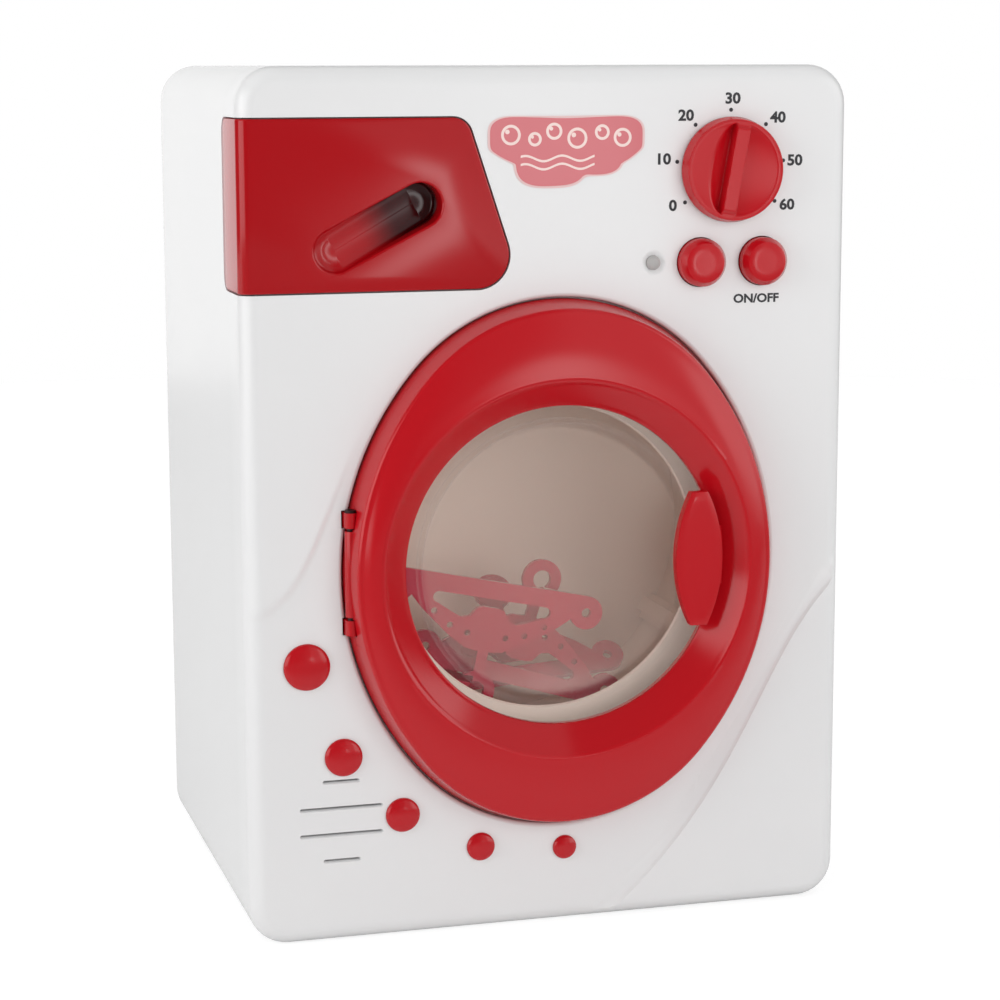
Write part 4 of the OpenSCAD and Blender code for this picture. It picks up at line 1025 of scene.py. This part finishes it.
def lettering(word, at, height, weight=0.034, wide=1.1):
    """Points and faces of a word, centred on a place on the front. Its outline is scaled so that its
    height is as given, and stretched sideways by wide. weight fattens the strokes."""
    curve = bpy.data.curves.new("word", "FONT")
    curve.body, curve.align_x, curve.align_y = word, "CENTER", "CENTER"
    curve.offset, curve.resolution_u = weight, 3
    text = bpy.data.objects.new("word", curve)
    scene.collection.objects.link(text)
    mesh = bpy.data.meshes.new_from_object(text.evaluated_get(bpy.context.evaluated_depsgraph_get()))
    flat = np.empty(len(mesh.vertices) * 3)
    mesh.vertices.foreach_get("co", flat)
    flat = flat.reshape(-1, 3)
    faces = [list(f.vertices) for f in mesh.polygons]
    bpy.data.objects.remove(text)
    low, high = flat.min(0), flat.max(0)
    flat = (flat - (low + high) / 2) * height / (high[1] - low[1]) * np.array([wide, 1, 1])
    return np.stack([at[0] + flat[:, 0], np.full(len(flat), PRINT_Y), at[1] + flat[:, 1]], -1), faces


print("print lies", round(FACE - PRINT_Y, 2), "mm proud")

# %% Numbers and dots
words = [("30", (57.0, 254.0)), ("20", (42.0, 249.0)), ("40", (71.6, 248.2)), ("10", (35.2, 236.0)),
         ("50", (77.4, 235.2)), ("0", (38.0, 222.0)), ("60", (75.0, 221.8)), ("ON/OFF", (65.3, 193.3))]
all_points, all_faces, count = [], [], 0
for word, at in words:
    points, faces = lettering(word, at, FIGURE_HIGH if word.isdigit() else CAPITAL_HIGH)
    all_points.append(points)
    all_faces += [[count + i for i in f] for f in faces]
    count += len(points)
for degrees in (-123, -82, -41, 0, 41, 82, 123):
    a = math.radians(90 - degrees)
    loop = circle(DIAL + np.array([17.3 * math.cos(a), 17.9 * math.sin(a)]), 0.62, TURN[::16])[::-1]
    all_points.append(at_depth(loop, PRINT_Y))
    all_faces.append([count + i for i in range(len(loop))][::-1])
    count += len(loop)
printing = bpy.data.meshes.new("printing")
printing.from_pydata((np.concatenate(all_points) * MM).tolist(), [], all_faces)
work = bmesh.new()
work.from_mesh(printing)
bmesh.ops.solidify(work, geom=work.faces[:], thickness=0.04 * MM)
bmesh.ops.recalc_face_normals(work, faces=work.faces)
work.to_mesh(printing)
work.free()
place("printing", printing, "cabinet", "black_plastic", ink, angle=30)

# %% [markdown]
# ## Sticker
#
# The sticker is a thin die-cut sheet in coral with a pale border. Its outline is a rounded bar with a
# lower tongue: two sheets of one shape, the upper one a little smaller, give the border.


# %% Sticker outline
def sticker_loop(grow):
    """Rounded bar with a lower tongue: the outline is the farthest of the shapes, angle by angle, with
    its inner corners eased by a running mean, and then moved out by grow."""
    centre = np.array([4.35, 239.4])
    turn = np.linspace(0, 2 * np.pi, 220, endpoint=False)
    d = np.stack([np.cos(turn), np.sin(turn)], -1)

    def reach(half_w, half_h, power, shift):
        """Distance to a rounded box |x/w|^p + |z/h|^p = 1, walked out along the ray from the centre."""
        t = np.linspace(0, 40, 1600)[:, None]
        x, z = t * d[None, :, 0] - shift[0], t * d[None, :, 1] - shift[1]
        inside = np.abs(x / half_w) ** power + np.abs(z / half_h) ** power < 1
        return (inside * t).max(0)

    tongue = np.maximum(reach(11.5, 8.0, 3, (-5.0, -3.6)), reach(10.5, 5.2, 3, (7.5, -3.0)))
    far = np.maximum(reach(24.4, 6.3, 9, (0, 3.4)), tongue)
    far = np.convolve(np.concatenate([far[-4:], far, far[:4]]), np.ones(9) / 9, "valid")
    return centre + d * (far + grow)[:, None]


border = prism(sticker_loop(0.0), FACE - 0.22, FACE - 0.02)
print("sticker outline:", len(border.polygons) - 2, "sides")

# %% [markdown]
# ## Sticker print
#
# The print is a plain washing motif, six soap bubbles over two waves. Each is worked out from distances
# in the sticker's plane: a bubble is a thin band round a circle and a glint inside it, and a wave is a
# thin band about a sine. The pattern can't blur or slip, as an image can.


# %% Sticker print
BUBBLES = ((-13.0, 243.6, 3.1), (-5.6, 242.3, 2.2), (0.4, 244.6, 2.6), (7.6, 242.5, 3.2), (15.4, 244.2, 2.4),
           (21.8, 242.6, 2.9))
WAVES = (236.6, 234.2)


def sticker_finish():
    """Coral print with pale marks. A bubble's ring is where |distance - (r - 0.5)| < 0.42, and a wave is
    where |z - 0.8 sin(0.55 x) - level| < 0.34."""
    finish = Finish("sticker_print", Roughness=0.35, Coat_Weight=0.3)
    x, z = finish.mm("X"), finish.mm("Z")
    mask = None
    for cx, cz, r in BUBBLES:
        far = ((x - cx) ** 2 + (z - cz) ** 2) ** 0.5
        band = (far - r + 0.5).size() < 0.42
        glint = (((x - (cx - r * 0.35)) ** 2 + (z - (cz + r * 0.3)) ** 2) ** 0.5) < r * 0.22
        mark = band.highest(glint)
        mask = mark if mask is None else mask.highest(mark)
    swell = finish.node("ShaderNodeMath", {"operation": "SINE"}, {0: x * 0.55})
    for level in WAVES:
        wave = (z - swell * 0.8 - level).size() < 0.34
        mask = mask.highest(wave * ((x - 1.5).size() < 11.5))
    finish.wear(Base_Color=finish.between(mask, (0.62, 0.145, 0.165), (0.86, 0.66, 0.62)))
    return finish.material


pale = Finish("sticker_edge", Roughness=0.4)
pale.wear(Base_Color=pale.between(pale.noise(90.0), (0.82, 0.60, 0.59), (0.76, 0.52, 0.52)))
place("sticker_border", border, "cabinet", "label_paper", pale.material, "label_plate")
sheet = prism(sticker_loop(-0.7), FACE - 0.3, FACE - 0.2)
place("sticker", sheet, "cabinet", "label_paper", sticker_finish())

# %% [markdown]
# ## Floor
#
# A pale floor keeps the whites honest. To the camera it glows a little, which makes it a plain backdrop
# with the object's shadow still on it. Far in front, reflections alone see it darkened by a painted shade,
# because a bright floor mirrored in the glossy reds would wash them out.

# %% Floor
ground = Finish("ground", Roughness=0.8, Emission_Strength=1.0)
looked_at = ground.ray("Is Camera Ray", "Is Transmission Ray")
# Painted shade: far in front of the object the floor turns dark grey, but only to glossy rays.
far_front_shade = ground.smooth(ground.part(ground.where(), "Y"), -0.12, -0.4) * ground.ray("Is Glossy Ray")
paper = ground.between(ground.noise(3.0), (0.90, 0.90, 0.90), (0.88, 0.88, 0.88))
paper = ground.between(far_front_shade, paper, (0.28, 0.28, 0.28))
ground.wear(Base_Color=ground.between(looked_at, paper, (0.35, 0.35, 0.35)),
            Emission_Color=ground.between(looked_at, (0.0, 0.0, 0.0), (0.76, 0.76, 0.76)))
rim = circle((0, 0), 1.4, TURN[::2])
floor_mesh = bpy.data.meshes.new("floor")
floor_mesh.from_pydata([(x, y, 0) for x, y in rim], [], [list(range(len(rim)))])
floor_mesh.materials.append(ground.material)
floor = bpy.data.objects.new("floor", floor_mesh)
scene.collection.objects.link(floor)
print("floor of", len(rim), "sides")

# %% [markdown]
# ## Studio
#
# Glossy plastic is a mirror for its studio, so the world is built for reflections: soft boxes to the
# left and the right, a narrow strip and its fill low on the right for the door's flank, and a glow
# behind. Each box is a product of smooth steps in the direction (x, y, z) of the ray. Diffuse rays get an
# even level instead, and the camera sees plain white.

# %% World
world = bpy.data.worlds.new("studio")
scene.world = world
world.use_nodes = True
studio = Nodes(world.node_tree)
toward = studio.node("ShaderNodeTexCoord", out="Generated")
x, y, z = (studio.part(toward, axis) for axis in "XYZ")


def band(value, start, end, fall_start, fall_end):
    """Soft box along one direction: up from start to end, and down from fall_start to fall_end."""
    return studio.smooth(value, start, end) * studio.smooth(value, fall_end, fall_start)


here = studio.smooth(y, 0.1, -0.1)
backdrop = studio.smooth(y, 0.1, 0.35) * studio.smooth(x.size(), 0.65, 0.5) * studio.smooth(z, 0.5, 0.3)
fill = studio.smooth(x, 0.235, 0.3) * here * (studio.smooth(z, 0.05, -0.12) * 0.35 + 0.35)
strip = band(x, 0.245, 0.262, 0.31, 0.335) * band(z, -0.17, -0.11, 0.0, 0.05)
right_box = studio.smooth(x, 0.52, 0.62) * here * band(z, -0.08, 0.03, 0.45, 0.6)
left_box = studio.smooth(x, -0.5, -0.65) * here * band(z, -0.2, -0.12, 0.35, 0.5)
glow = backdrop * 0.9 + fill * 1.2 + strip * 3.4 + right_box * 1.5 + left_box * 2.0 + 0.1


def either(kind, otherwise, then):
    """One number for rays of a kind, and another for the rest."""
    return studio.node("ShaderNodeMix", {"data_type": "FLOAT"}, {0: kind, 2: otherwise, 3: then})


level = either(studio.ray("Is Glossy Ray"), 0.54, glow)
level = either(studio.ray("Is Camera Ray", "Is Transmission Ray"), level, 1.0)
shade = studio.node("ShaderNodeCombineColor", {}, {0: level, 1: level, 2: level})
sky = studio.node("ShaderNodeBackground", {}, {"Color": shade, "Strength": 1.0})
studio.tree.links.new(sky.socket, studio.tree.nodes.new("ShaderNodeOutputWorld").inputs["Surface"])
print("world:", len(studio.tree.nodes), "nodes")

# %% [markdown]
# ## Lamps
#
# Three large square lamps light the plastics: one on the left, one in front and one overhead. They are
# left out of reflections, because the world already holds what the gloss should show.


# %% Lamps
def lamp(name, at, aim, size, power):
    """Square soft lamp at a place, turned to face another place, in metres."""
    light = bpy.data.lights.new(name, "AREA")
    light.shape, light.size, light.energy = "SQUARE", size, power
    thing = bpy.data.objects.new(name, light)
    scene.collection.objects.link(thing)
    thing.visible_glossy = False
    thing.location = at
    thing.rotation_euler = (Vector(aim) - Vector(at)).to_track_quat("-Z", "Y").to_euler()
    print(f"{name} lamp: {power} W")


centre = (0, 0, 0.13)
lamp("left", (-1.5, -0.25, 0.45), centre, 1.2, 11.5)
lamp("front", (0.7, -1.6, 0.4), centre, 1.4, 12.5)
lamp("top", (0.0, 0.1, 1.7), centre, 1.6, 4.5)

# %% [markdown]
# ## Camera
#
# The camera stands to the left and a little above, and is set by its place, its heading and its tilt.
# The long lens keeps the cabinet's upright edges nearly parallel.

# %% Camera
yaw, pitch, roll = 0.2760, 0.1655, -0.0027
spot = Vector((-0.22865, -0.82278, 0.26432))
ahead = Vector((math.sin(yaw) * math.cos(pitch), math.cos(yaw) * math.cos(pitch), -math.sin(pitch)))
right = Vector((math.cos(yaw), -math.sin(yaw), 0))
up = right.cross(ahead)
right, up = right * math.cos(roll) + up * math.sin(roll), up * math.cos(roll) - right * math.sin(roll)
camera = bpy.data.objects.new("camera", bpy.data.cameras.new("camera"))
scene.collection.objects.link(camera)
camera.data.lens, camera.data.sensor_width = 93.96, 36.0
camera.data.clip_start = 0.01
facing = Matrix((right, up, -ahead)).transposed().to_4x4()
camera.matrix_world = Matrix.Translation(spot) @ facing
scene.camera = camera
scene.view_settings.view_transform = "Standard"
print("camera at", tuple(round(v, 3) for v in spot))

# %% [markdown]
# ## Measure and finish
#
# Cutters leave meshes that nothing uses, and these go first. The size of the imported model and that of
# the dressed one are then written side by side, since a skin should never reach past what it covers.

# %% Measure and finish
for mesh in [m for m in bpy.data.meshes if not m.users]:
    bpy.data.meshes.remove(mesh)
low, high = cad_box
